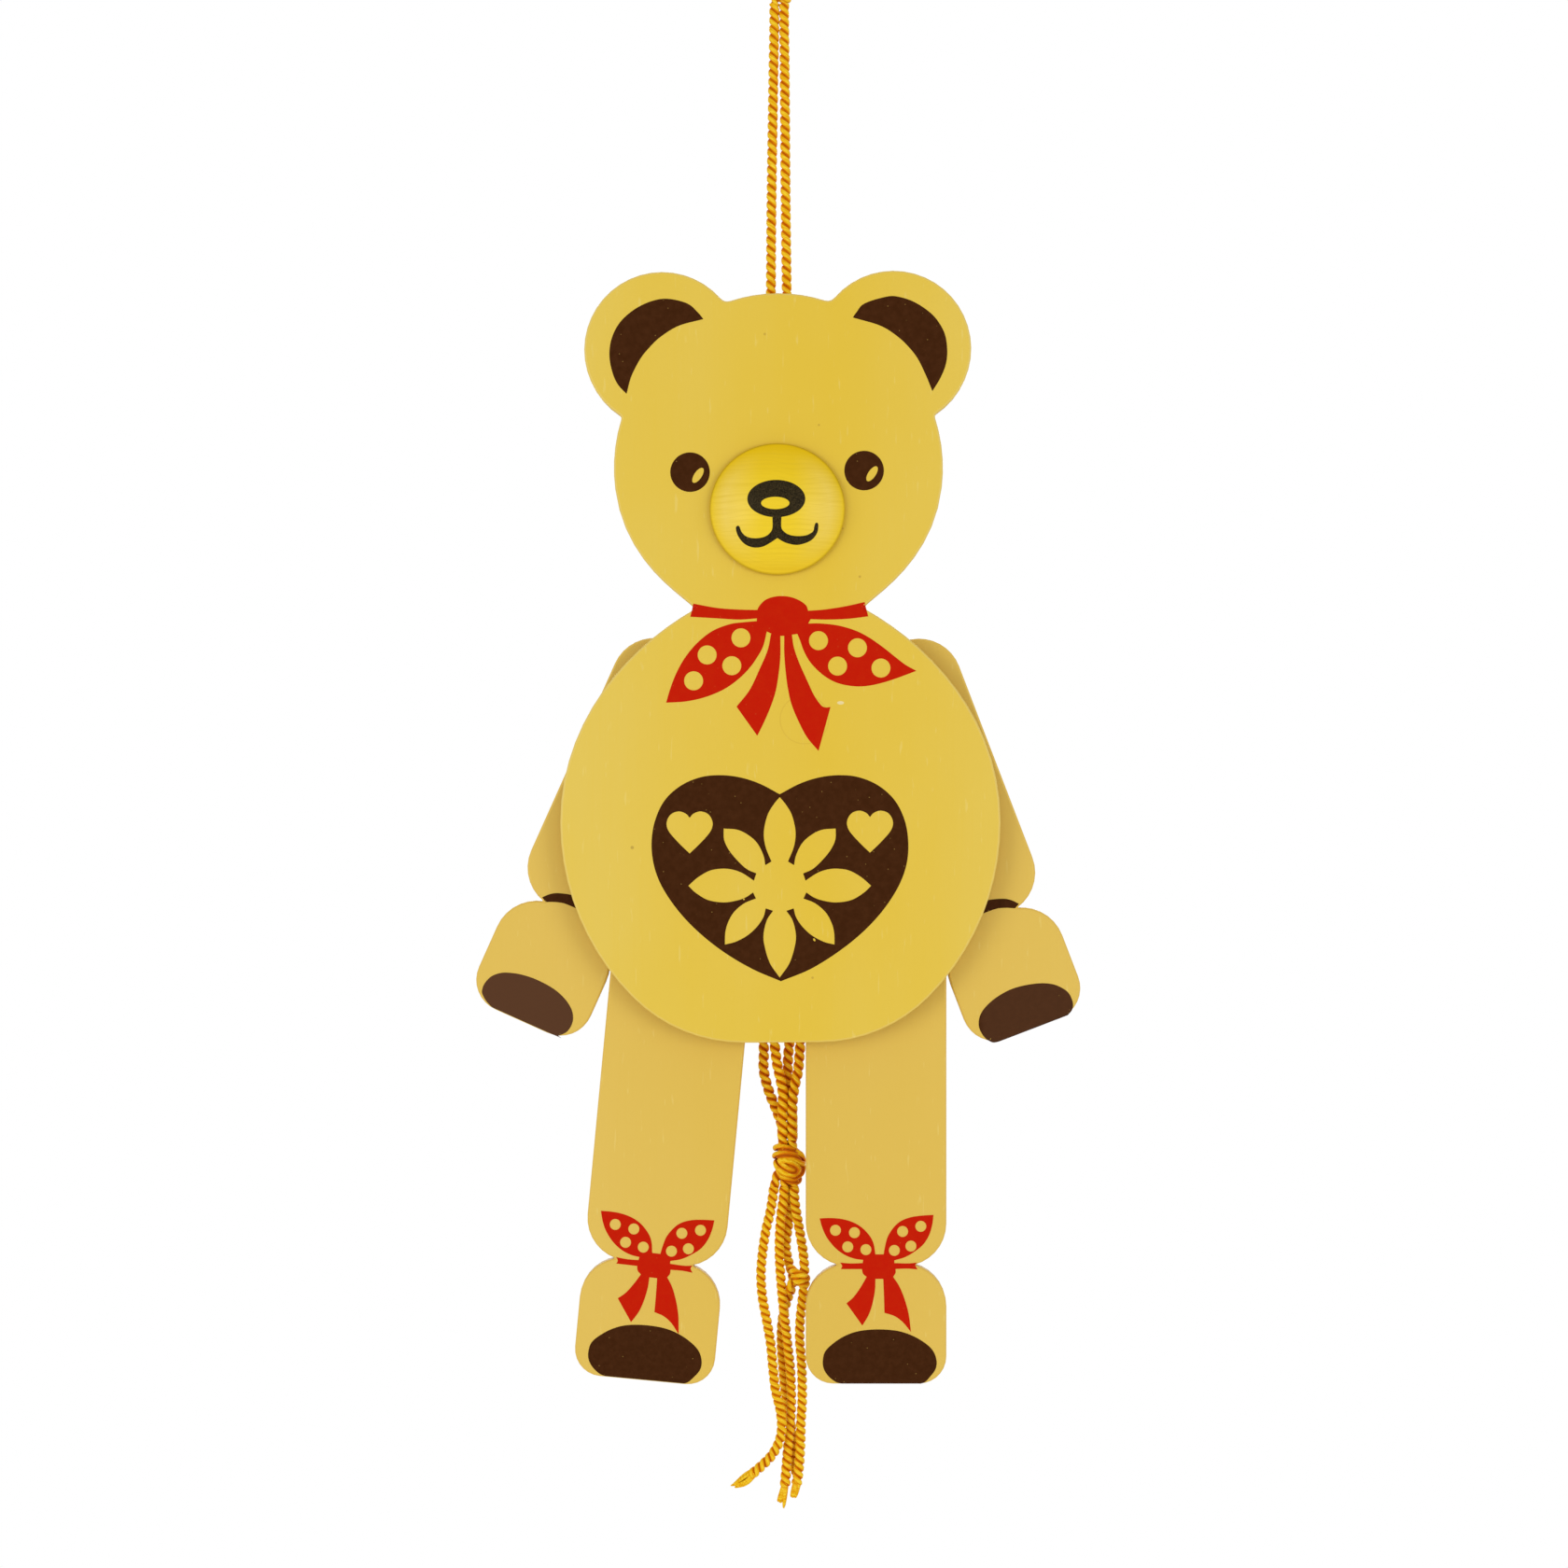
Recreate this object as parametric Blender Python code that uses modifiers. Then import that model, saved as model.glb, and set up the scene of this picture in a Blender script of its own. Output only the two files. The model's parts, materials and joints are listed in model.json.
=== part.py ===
"""A jumping jack: a flat painted bear of plywood that hangs on a twisted cord.

A body plate carries a turned muzzle in front and four dowels behind. The arms and the legs
turn on the dowels, and a cord from each limb runs down to one knot. A pull on the tails
under that knot swings all four limbs outward.

Metres, +Z up. The front faces -Y and +X is to the viewer's right. The origin is the top of
the hanging loop. Left and right are the viewer's.
"""

import math

import bmesh
import bpy
from mathutils import Vector

MM = 0.001

# Wood
PLATE_T = 4.0 * MM
LIMB_T = 4.0 * MM
EDGE_R = 0.4 * MM  # sanded off every plate edge
FACE_SKIN = 1.2 * MM  # wood left in front of a blind hole

# Clearances
GAP = 0.3 * MM  # between pieces that touch
GLUE_FIT = 0.15 * MM  # on the radius of a glued or pressed piece
RUNNING_FIT = 0.1 * MM  # on the radius of a limb's bore
CHORD_TOLERANCE = 0.05 * MM
TURNED_SIDES = 24  # of a turned piece or a drilled hole

# How the plate hangs: heights are from TORSO_Z, a level in the middle of the torso
TORSO_Z = -232.0 * MM
TORSO_X = 0.25 * MM
HANG_LEAN = math.radians(0.32)  # the head to the left of the plumb line

# Body plate
TORSO_W = 110.8 * MM
BELLY_Z = -2.3 * MM
FLANK_R = 62.2 * MM
FLANK_TURN = math.radians(44.9)
BELLY_CORNER_R = 39.0 * MM
NECK_W = 42.2 * MM
NECK_Z = 51.6 * MM
SHOULDER_SLOPE = math.radians(29.2)
SHOULDER_REACH = 19.3 * MM
FLANK_REACH = 26.1 * MM
HEAD_R = 41.4 * MM
HEAD_Z = 86.9 * MM
JAW_TURN = math.radians(7)
JAW_REACH = 18.7 * MM
CHIN_SLOPE = math.radians(45.8)
CHIN_REACH = 5.4 * MM
CROWN_R = 38.7 * MM
CROWN_TOP_Z = 130.9 * MM
EAR_R = 19.6 * MM
EAR_X = 29.1 * MM
EAR_Z = 116.8 * MM
EAR_TOP_FILLET = 2.2 * MM
EAR_SIDE_FILLET = 1.0 * MM

# Muzzle, a turned button glued to the face
MUZZLE_D = 34.2 * MM
MUZZLE_H = 9.0 * MM
MUZZLE_X = -0.5 * MM
MUZZLE_Z = 76.4 * MM
MUZZLE_EDGE = 0.8 * MM  # upright at the rim, under the dome

# Arms
ARM_W = 30.9 * MM
ARM_TOP = 13.9 * MM
WRIST = 59.4 * MM
ARM_END = 89.4 * MM
WRIST_W = 14.4 * MM
WRIST_R = 10.9 * MM
PAW_INNER_R = 13.5 * MM  # the paw's corner that rests on the leg
PAW_R = 8.2 * MM
ARM_PIVOT_X = {"left": -28.8 * MM, "right": 32.2 * MM}
ARM_PIVOT_Z = 28.9 * MM
ARM_SWING = math.radians(95)
ARM_CORD_R = 9.0 * MM  # from the pivot to the cord hole

# Legs
LEG_W = 35.6 * MM
LEG_TOP = 10.0 * MM
ANKLE = 78.6 * MM
LEG_END = 108.7 * MM
ANKLE_W = 19.4 * MM
ANKLE_R = 10.8 * MM
FOOT_R = 6.9 * MM
LEG_PIVOT_X = {"left": -24.45 * MM, "right": 24.5 * MM}
LEG_PIVOT_Z = {"left": -35.4 * MM, "right": -35.8 * MM}
LEG_TILT = {"left": math.radians(5.4), "right": 0.0}
LEG_SWING = math.radians(75)

# Pivots
PIN_D = 4.5 * MM
PIN_CHAMFER = 0.4 * MM
SPACER_D = 10.0 * MM
SPACER_T = 0.9 * MM
CAP_D = 9.0 * MM
CAP_RIM_T = 0.6 * MM
CAP_CROWN_D = 6.4 * MM
CAP_H = 1.9 * MM
CAP_WALL = 0.5 * MM
CAP_SHOULDER = 1.0 * MM  # rounded off round the crown

# Cords
CORD_D = 2.1 * MM
CORD_STEP = 2.2  # diameters between a tube's points
LIMB_KNOT_R = 2.2 * MM
KNOT_LEAD = 0.35 * MM  # the most that a limb's knot runs ahead of the pull in mid swing
HANG_KNOT_W = 6.2 * MM
HANG_KNOT_D = 6.0 * MM
HANG_KNOT_H = 6.6 * MM
HANG_KNOT_Z = -23.6 * MM
STOP_KNOT_R = 2.0 * MM
PULL_KNOT_W = 9.0 * MM
PULL_KNOT_D = 6.4 * MM
PULL_KNOT_H = 11.0 * MM
PULL_KNOT_X = 2.4 * MM
PULL_KNOT_Z = -89.4 * MM
TAIL_KNOT_W = 4.4 * MM
TAIL_KNOT_D = 2.6 * MM
TAIL_KNOT_H = 4.8 * MM
TAIL_KNOT_X = 4.9 * MM
TAIL_KNOT_Z = -118.3 * MM
KNOT_SIDES = 16
TURN_SLANTS = [math.radians(slant) for slant in (14, -9, 18)]

# Staple on the back of the head, over the two strands
STAPLE_WIRE_D = 1.0 * MM
STAPLE_W = 8.0 * MM
STAPLE_Z = 112.0 * MM

# Depths, from the hanging cord's own plane
PLATE_BACK = -CORD_D / 2 - GAP
PLATE_FRONT = PLATE_BACK - PLATE_T
SPACER_FRONT = PLATE_BACK + GAP
LIMB_FRONT = SPACER_FRONT + SPACER_T + GAP
LIMB_BACK = LIMB_FRONT + LIMB_T
CAP_FRONT = LIMB_BACK + GAP
PULL_Y = LIMB_BACK + GAP + LIMB_KNOT_R
PULL_KNOT_Y = LIMB_BACK + GAP + PULL_KNOT_D / 2 + GAP

# Worked out from the swing of the limbs
PULL_TRAVEL = 2 * ARM_CORD_R * math.sin(ARM_SWING / 2)
LEG_CORD_R = PULL_TRAVEL / (2 * math.sin(LEG_SWING / 2))

SIDES = {"left": -1, "right": 1}


# Scene, materials and small helpers
def clear_scene():
    for obj in list(bpy.data.objects):
        bpy.data.objects.remove(obj)


def new_collection(name):
    collection = bpy.data.collections.new(name)
    bpy.context.scene.collection.children.link(collection)
    return collection


def linear(channel):
    value = channel / 255
    return value / 12.92 if value <= 0.04045 else ((value + 0.055) / 1.055) ** 2.4


def material(name, rgb, roughness, metallic=0.0):
    made = bpy.data.materials.new(name)
    made.use_nodes = True
    shader = made.node_tree.nodes["Principled BSDF"]
    shader.inputs["Base Color"].default_value = (*map(linear, rgb), 1)
    shader.inputs["Roughness"].default_value = roughness
    shader.inputs["Metallic"].default_value = metallic
    made.diffuse_color = (*map(linear, rgb), 1)
    return made


def add(name, mesh, look, collection, location=(0, 0, 0)):
    obj = bpy.data.objects.new(name, mesh)
    obj.location = location
    if look:
        mesh.materials.append(look)
    collection.objects.link(obj)
    return obj


def mesh_of(name, bm, sharp_from=math.radians(35)):
    bmesh.ops.recalc_face_normals(bm, faces=bm.faces)
    mesh = bpy.data.meshes.new(name)
    bm.to_mesh(mesh)
    bm.free()
    mesh.shade_smooth()
    mesh.set_sharp_from_angle(angle=sharp_from)
    return mesh


def cutter(name, mesh, location=(0, 0, 0)):
    obj = add(name, mesh, None, CUTTERS, location)
    obj.hide_render = True
    obj.display_type = "WIRE"
    return obj


def combine(obj, other, operation):
    boolean = obj.modifiers.new(other.name, "BOOLEAN")
    boolean.operation = operation
    boolean.solver = "EXACT"
    boolean.object = other


# Outlines, as lists of (x, z)
def arc(centre, radius, start, end, hollow=False):
    """Points on a circle from start to end in radians, clockwise unless the outline is hollow."""
    whole = 2 * math.pi
    end = start + (end - start) % whole if hollow else start - (start - end) % whole
    step = 2 * math.acos(1 - CHORD_TOLERANCE / radius)
    count = max(2, math.ceil(abs(end - start) / step))
    return [
        on_circle(centre, radius, start + (end - start) * i / count)
        for i in range(count + 1)
    ]


def on_circle(centre, radius, angle):
    return (centre[0] + radius * math.cos(angle), centre[1] + radius * math.sin(angle))


def heading(from_point, to_point):
    return math.atan2(to_point[1] - from_point[1], to_point[0] - from_point[0])


def bezier(p0, p1, p2, p3, count):
    points = []
    for i in range(count + 1):
        t = i / count
        weights = ((1 - t) ** 3, 3 * t * (1 - t) ** 2, 3 * t * t * (1 - t), t**3)
        points.append(
            tuple(
                sum(w * p[k] for w, p in zip(weights, (p0, p1, p2, p3))) for k in (0, 1)
            )
        )
    return points


def valley(first, second, fillet, upper):
    """The centre of the fillet circle in the notch between two circles, each (centre, radius)."""
    (c1, r1), (c2, r2) = first, second
    a = r1 + fillet
    b = r2 + fillet
    gap = math.dist(c1, c2)
    along = (a * a - b * b + gap * gap) / (2 * gap)
    aside = math.sqrt(a * a - along * along)
    turn = heading(c1, c2)
    found = [
        on_circle(on_circle(c1, along, turn), side * aside, turn + math.pi / 2)
        for side in (1, -1)
    ]
    return max(found, key=lambda p: p[1] if upper else -p[1])


def joined(*stretches):
    """The stretches as one line, with no point twice in a row."""
    line = []
    for point in (p for stretch in stretches for p in stretch):
        if not line or math.dist(point, line[-1]) > 0.02 * MM:
            line.append(point)
    return line


def both_sides(right_half, left_half=None):
    """A closed outline from halves that run from top to bottom, the left one drawn mirrored."""
    other = reversed(left_half or right_half)
    return joined(right_half, [(-x, z) for x, z in other if x > 0.01 * MM])


def body_outline():
    crown = (0, CROWN_TOP_Z - CROWN_R)
    ear = (EAR_X, EAR_Z)
    head = (0, HEAD_Z)
    top_notch = valley((crown, CROWN_R), (ear, EAR_R), EAR_TOP_FILLET, True)
    side_notch = valley((head, HEAD_R), (ear, EAR_R), EAR_SIDE_FILLET, False)
    jaw = on_circle(head, HEAD_R, -JAW_TURN)
    neck = (NECK_W / 2, NECK_Z)
    wide = (TORSO_W / 2, BELLY_Z)
    under_jaw = on_circle(jaw, JAW_REACH, -JAW_TURN - math.pi / 2)
    chin = on_circle(neck, CHIN_REACH, CHIN_SLOPE)
    shoulder = on_circle(neck, SHOULDER_REACH, -SHOULDER_SLOPE)
    over_flank = (TORSO_W / 2, BELLY_Z + FLANK_REACH)
    flank_centre = (TORSO_W / 2 - FLANK_R, BELLY_Z)
    corner = on_circle(flank_centre, FLANK_R - BELLY_CORNER_R, -FLANK_TURN)
    right_half = joined(
        arc(crown, CROWN_R, math.pi / 2, heading(crown, top_notch)),
        arc(
            top_notch,
            EAR_TOP_FILLET,
            heading(top_notch, crown),
            heading(top_notch, ear),
            hollow=True,
        ),
        arc(ear, EAR_R, heading(ear, top_notch), heading(ear, side_notch)),
        arc(
            side_notch,
            EAR_SIDE_FILLET,
            heading(side_notch, ear),
            heading(side_notch, head),
            hollow=True,
        ),
        arc(head, HEAD_R, heading(head, side_notch), -JAW_TURN),
        bezier(jaw, under_jaw, chin, neck, 10),
        bezier(neck, shoulder, over_flank, wide, 14),
        arc(flank_centre, FLANK_R, 0, -FLANK_TURN),
        arc(corner, BELLY_CORNER_R, -FLANK_TURN, -math.pi / 2),
    )
    return shifted(turned(both_sides(right_half), HANG_LEAN), TORSO_X, 0)


def half_limb(width, top, notch, end, notch_w, notch_r, lobe_r, end_r):
    """Half of a bar that narrows to a notch and ends in a paw or a foot.

    Its pivot is at (0, 0), and the limb hangs down from it. lobe_r is the corner under the notch.
    """
    side = width / 2
    point = (notch_w / 2, -notch)
    upper_x = side - notch_r
    lower_x = side - lobe_r
    upper = (upper_x, -notch + math.sqrt(notch_r**2 - (point[0] - upper_x) ** 2))
    lower = (lower_x, -notch - math.sqrt(lobe_r**2 - (point[0] - lower_x) ** 2))
    return joined(
        arc((upper_x, top - notch_r), notch_r, math.pi / 2, 0),
        arc(upper, notch_r, 0, heading(upper, point)),
        arc(lower, lobe_r, heading(lower, point), 0),
        arc((side - end_r, end_r - end), end_r, 0, -math.pi / 2),
    )


def limb_outlines(width, top, notch, end, notch_w, notch_r, inner_r, end_r):
    """The right limb's outline and the left's, each with its inner lobe corner of inner_r."""
    outer = half_limb(width, top, notch, end, notch_w, notch_r, notch_r, end_r)
    inner = half_limb(width, top, notch, end, notch_w, notch_r, inner_r, end_r)
    return {"left": both_sides(inner, outer), "right": both_sides(outer, inner)}


def turned(points, angle):
    """The points swung about (0, 0), a positive angle taking what hangs down to the right."""
    c = math.cos(angle)
    s = math.sin(angle)
    return [(x * c - z * s, x * s + z * c) for x, z in points]


def nearest(points, others):
    """The least distance from any of the points to the closed line through the others."""
    least = math.inf
    for i, end in enumerate(others):
        start = Vector(others[i - 1])
        along = Vector(end) - start
        for point in points:
            share = (Vector(point) - start).dot(along) / along.length_squared
            foot = start + along * min(1, max(0, share))
            least = min(least, (Vector(point) - foot).length)
    return least


def shifted(points, x, z):
    return [(px + x, pz + z) for px, pz in points]


def arm_rest_tilt(side):
    """How far an arm leans out at rest, where the corner of its paw meets the leg."""
    sign = SIDES[side]
    low, high = math.radians(10), math.radians(45)
    leg = turned(OUTLINES["leg"][side], sign * LEG_TILT[side])
    leg = shifted(leg, LEG_PIVOT_X[side], LEG_PIVOT_Z[side])
    leg = [p for p in leg if p[0] * sign > abs(LEG_PIVOT_X[side])]
    for _ in range(16):
        tilt = (low + high) / 2
        arm = turned(OUTLINES["arm"][side], sign * tilt)
        arm = shifted(arm, ARM_PIVOT_X[side], ARM_PIVOT_Z)
        reach = [p for p in arm if p[1] < LEG_PIVOT_Z[side] + LEG_TOP + ARM_W]
        crossed = any(inside(p, leg) for p in reach)
        if crossed or nearest(reach, leg) < GAP:
            low = tilt
        else:
            high = tilt
    return high


def inside(point, outline):
    x, z = point
    hits = 0
    for i, (x1, z1) in enumerate(outline):
        x0, z0 = outline[i - 1]
        if (z0 > z) != (z1 > z) and x < x0 + (z - z0) * (x1 - x0) / (z1 - z0):
            hits += 1
    return hits % 2 == 1


# Solids
def plate_mesh(name, outline, front, thickness):
    """A square-edged plate between front and front + thickness in Y."""
    bm = bmesh.new()
    face = bm.faces.new([bm.verts.new((x, front, z)) for x, z in outline])
    made = bmesh.ops.extrude_face_region(bm, geom=[face])["geom"]
    back = [part for part in made if isinstance(part, bmesh.types.BMVert)]
    bmesh.ops.translate(bm, verts=back, vec=(0, thickness, 0))
    return mesh_of(name, bm)


def sand_edges(obj):
    bevel = obj.modifiers.new("sanded_edges", "BEVEL")
    bevel.width = EDGE_R
    bevel.segments = 1
    bevel.limit_method = "ANGLE"
    bevel.angle_limit = math.radians(80)


def lathe_mesh(name, profile, segments):
    """A solid turned about the Y axis, from a profile of (radius, y) that starts and ends on it."""
    bm = bmesh.new()
    verts = [bm.verts.new((radius, y, 0)) for radius, y in profile]
    edges = [bm.edges.new(pair) for pair in zip(verts, verts[1:])]
    bmesh.ops.spin(
        bm,
        geom=verts + edges,
        cent=(0, 0, 0),
        axis=(0, 1, 0),
        dvec=(0, 0, 0),
        angle=2 * math.pi,
        steps=segments,
        use_merge=True,
        use_duplicate=False,
    )
    bmesh.ops.remove_doubles(bm, verts=bm.verts, dist=0.001 * MM)
    return mesh_of(name, bm)


def rod_profile(radius, front, back, chamfer=0.0):
    if not chamfer:
        return [(0, front), (radius, front), (radius, back), (0, back)]
    return [
        (0, front),
        (radius - chamfer, front),
        (radius, front + chamfer),
        (radius, back - chamfer),
        (radius - chamfer, back),
        (0, back),
    ]


def drill(obj, name, x, z, radius, front, back):
    """A round hole along Y through or into obj, at (x, z) of obj's own frame."""
    mesh = lathe_mesh(name, rod_profile(radius, front, back), TURNED_SIDES)
    tool = cutter(name, mesh, (x, 0, z))
    tool.parent = obj
    combine(obj, tool, "DIFFERENCE")


def ball_mesh(name, size):
    bm = bmesh.new()
    bmesh.ops.create_uvsphere(bm, u_segments=14, v_segments=8, radius=0.5)
    bmesh.ops.scale(bm, vec=size, verts=bm.verts)
    return mesh_of(name, bm)


def knot(name, size, centre, parent=None, turns=0):
    """A pulled-tight knot: a core, and on a large knot the turns of cord round it."""
    size = Vector(size)
    core = size if not turns else Vector((size.x * 0.86, size.y * 0.86, size.z))
    obj = add(name, ball_mesh(name, core), CORD_LOOK, TOY, centre)
    obj.parent = parent
    for i in range(turns):
        share = (i + 0.5) / turns - 0.5
        narrow = math.sqrt(1 - (1.5 * share) ** 2)
        wide = (size.x - CORD_D) / 2 * narrow
        deep = (size.y - CORD_D) / 2 * narrow
        around = [2 * math.pi * k / KNOT_SIDES for k in range(KNOT_SIDES)]
        ring = [Vector((wide * math.cos(t), deep * math.sin(t), 0)) for t in around]
        label = f"{name}_turn_{i + 1}"
        mesh = tube_mesh(label, ring, CORD_D, closed=True)
        turn = cutter(label, mesh, (0, 0, -share * size.z * 0.78))
        turn.rotation_euler = (0, TURN_SLANTS[i], 0)
        turn.parent = obj
        combine(obj, turn, "UNION")
    return obj


# Cords
def smooth_line(route, step):
    """Evenly spaced points on the curve through the route's points."""
    ends = [route[0] * 2 - route[1], *route, route[-1] * 2 - route[-2]]
    fine = []
    for a, b, c, d in zip(ends, ends[1:], ends[2:], ends[3:]):
        for i in range(12):
            t = i / 12
            fine.append(
                0.5
                * (
                    2 * b
                    + (c - a) * t
                    + (2 * a - 5 * b + 4 * c - d) * t * t
                    + (3 * b - a - 3 * c + d) * t**3
                )
            )
    fine.append(route[-1].copy())
    lengths = [0.0]
    for p, q in zip(fine, fine[1:]):
        lengths.append(lengths[-1] + (q - p).length)
    count = max(4, round(lengths[-1] / step))
    points = []
    k = 0
    for i in range(count + 1):
        target = lengths[-1] * i / count
        while k < len(fine) - 2 and lengths[k + 1] < target:
            k += 1
        span = lengths[k + 1] - lengths[k]
        points.append(fine[k].lerp(fine[k + 1], (target - lengths[k]) / span))
    return points


def tube_mesh(name, points, diameter, closed=False):
    data = bpy.data.curves.new(name + "_line", "CURVE")
    data.dimensions = "3D"
    data.bevel_depth = diameter / 2
    data.bevel_resolution = 2
    data.use_fill_caps = True
    spline = data.splines.new("POLY")
    spline.use_cyclic_u = closed
    spline.points.add(len(points) - 1)
    for point, place in zip(spline.points, points):
        point.co = (*place, 1)
    holder = bpy.data.objects.new(name + "_line", data)
    mesh = bpy.data.meshes.new_from_object(holder)
    bpy.data.objects.remove(holder)
    bpy.data.curves.remove(data)
    bm = bmesh.new()
    bm.from_mesh(mesh)
    bpy.data.meshes.remove(mesh)
    bmesh.ops.remove_doubles(bm, verts=bm.verts, dist=0.01 * MM)
    return mesh_of(name, bm)


def torso_points(*places):
    """Route points in world space, from (x, depth, height over the belly's level) in millimetres."""
    return [Vector((x * MM, y * MM, TORSO_Z + z * MM)) for x, y, z in places]


def cord(name, route, parent=None):
    """A cord through the route, held by its parent's place where it has one."""
    points = smooth_line(route, CORD_STEP * CORD_D)
    if parent:
        points = [p - parent.location for p in points]
    obj = add(name, tube_mesh(name, points, CORD_D), CORD_LOOK, TOY)
    obj.parent = parent
    return obj


# Sub-parts
def body_plate():
    mesh = plate_mesh("body_plate", BODY_OUTLINE, PLATE_FRONT, PLATE_T)
    plate = add("body_plate", mesh, BODY_PAINT, TOY, (0, 0, TORSO_Z))
    sand_edges(plate)
    hole_front = PLATE_FRONT + FACE_SKIN
    hole_back = PLATE_BACK + GAP
    for side in SIDES:
        for limb, (x, z) in PIVOTS[side].items():
            name = f"{side}_{limb}_pin_hole"
            drill(plate, name, x, z, PIN_D / 2 + GLUE_FIT, hole_front, hole_back)
        x = SIDES[side] * STAPLE_W / 2
        radius = STAPLE_WIRE_D / 2 + GLUE_FIT
        drill(plate, f"{side}_staple_hole", x, STAPLE_Z, radius, hole_front, hole_back)
    return plate


def muzzle():
    """A shallow dome, turned, with a small upright edge at its rim."""
    rim = MUZZLE_D / 2
    back = PLATE_FRONT - GAP
    rise = MUZZLE_H - MUZZLE_EDGE
    ball = (rim**2 + rise**2) / (2 * rise)
    sweep = math.asin(rim / ball)
    profile = [(0, back), (rim, back)]
    for i in range(7):
        lean = sweep * (1 - i / 6)
        radius = ball * math.sin(lean)
        profile.append((radius, back - MUZZLE_H + ball * (1 - math.cos(lean))))
    profile[-1] = (0, back - MUZZLE_H)
    mesh = lathe_mesh("muzzle", profile, 2 * TURNED_SIDES)
    return add("muzzle", mesh, MUZZLE_PAINT, TOY, (MUZZLE_X, 0, TORSO_Z + MUZZLE_Z))


def limb(kind, side):
    name = f"{side}_{kind}"
    x, z = PIVOTS[side][kind]
    mesh = plate_mesh(name, OUTLINES[kind][side], LIMB_FRONT, LIMB_T)
    obj = add(name, mesh, LIMB_PAINT, TOY, (x, 0, TORSO_Z + z))
    sand_edges(obj)
    obj.rotation_euler = (0, -SIDES[side] * TILTS[side][kind], 0)
    front = LIMB_FRONT - GAP
    back = LIMB_BACK + GAP
    bore = PIN_D / 2 + RUNNING_FIT
    drill(obj, f"{name}_bore", 0, 0, bore, front, back)
    hole_x, hole_z = CORD_HOLES[kind]
    hole_r = CORD_D / 2 + GAP
    drill(obj, f"{name}_cord_hole", SIDES[side] * hole_x, hole_z, hole_r, front, back)
    return obj


def cord_hole(radius, swing, tilt):
    """A right limb's hole: as far over the pivot at rest as it is under it at full pull."""
    place = on_circle((0, 0), radius, math.pi - swing / 2)
    return turned([place], -tilt)[0]


def cord_hole_place(kind, side):
    """Where a limb's cord hole is at rest, as (x, z) from the belly's level."""
    hole_x, hole_z = CORD_HOLES[kind]
    local = [(SIDES[side] * hole_x, hole_z)]
    return shifted(turned(local, SIDES[side] * TILTS[side][kind]), *PIVOTS[side][kind])[0]


def limb_knot(kind, side, limb_obj):
    """The end of a limb's cord, knotted behind the limb and glued into its hole."""
    name = f"{side}_{kind}_knot"
    x, z = CORD_HOLES[kind]
    obj = knot(name, (2 * LIMB_KNOT_R,) * 3, (SIDES[side] * x, PULL_Y, z), limb_obj)
    stub = rod_profile(CORD_D / 2, LIMB_FRONT + GAP - PULL_Y, -LIMB_KNOT_R / 2)
    plug = cutter(f"{name}_end", lathe_mesh(f"{name}_end", stub, 12))
    plug.parent = obj
    combine(obj, plug, "UNION")
    return obj


def pivot(kind, side):
    """A dowel glued into the plate, a washer in front of the limb and a pressed cap behind it."""
    x, z = PIVOTS[side][kind]
    place = (x, 0, TORSO_Z + z)
    pin_front = PLATE_FRONT + FACE_SKIN + GAP
    crown_inside = CAP_FRONT + CAP_H - CAP_WALL
    rod = rod_profile(PIN_D / 2, pin_front, crown_inside - GAP, PIN_CHAMFER)
    name = f"{side}_{kind}"
    add(f"{name}_pin", lathe_mesh(f"{name}_pin", rod, TURNED_SIDES), PIN_LOOK, TOY, place)
    disc = rod_profile(SPACER_D / 2, SPACER_FRONT, SPACER_FRONT + SPACER_T)
    spacer = add(
        f"{name}_spacer", lathe_mesh(f"{name}_spacer", disc, TURNED_SIDES), FIBRE, TOY, place
    )
    hole_r = PIN_D / 2 + GLUE_FIT
    hole_front = SPACER_FRONT - GAP
    hole_back = SPACER_FRONT + SPACER_T + GAP
    drill(spacer, f"{name}_spacer_hole", 0, 0, hole_r, hole_front, hole_back)
    inner = PIN_D / 2 + GLUE_FIT
    profile = [
        (inner, CAP_FRONT),
        (CAP_D / 2, CAP_FRONT),
        (CAP_D / 2, CAP_FRONT + CAP_RIM_T),
        (CAP_CROWN_D / 2, CAP_FRONT + CAP_RIM_T),
        (CAP_CROWN_D / 2 - 0.4 * CAP_SHOULDER, CAP_FRONT + CAP_H - 0.3 * CAP_SHOULDER),
        (CAP_CROWN_D / 2 - CAP_SHOULDER, CAP_FRONT + CAP_H),
        (0, CAP_FRONT + CAP_H),
    ]
    closed = [(0, crown_inside), (inner, crown_inside), *profile]
    add(f"{name}_cap", lathe_mesh(f"{name}_cap", closed, TURNED_SIDES), STEEL, TOY, place)


def staple():
    """A wire staple whose crown passes behind the two strands."""
    wire = STAPLE_WIRE_D
    half = STAPLE_W / 2
    tip = PLATE_FRONT + FACE_SKIN + GAP
    crown = CORD_D / 2 + GAP + wire / 2
    bend = 1.4 * wire
    z = TORSO_Z + STAPLE_Z
    right = [(half, tip), (half, crown - bend)]
    right += arc((half - bend, crown - bend), bend, 0, math.pi / 2, hollow=True)[1:]
    line = right + [(-x, y) for x, y in reversed(right)]
    points = [Vector((x, y, z)) for x, y in line]
    return add("hanger_staple", tube_mesh("hanger_staple", points, wire), STEEL, TOY)


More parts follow.
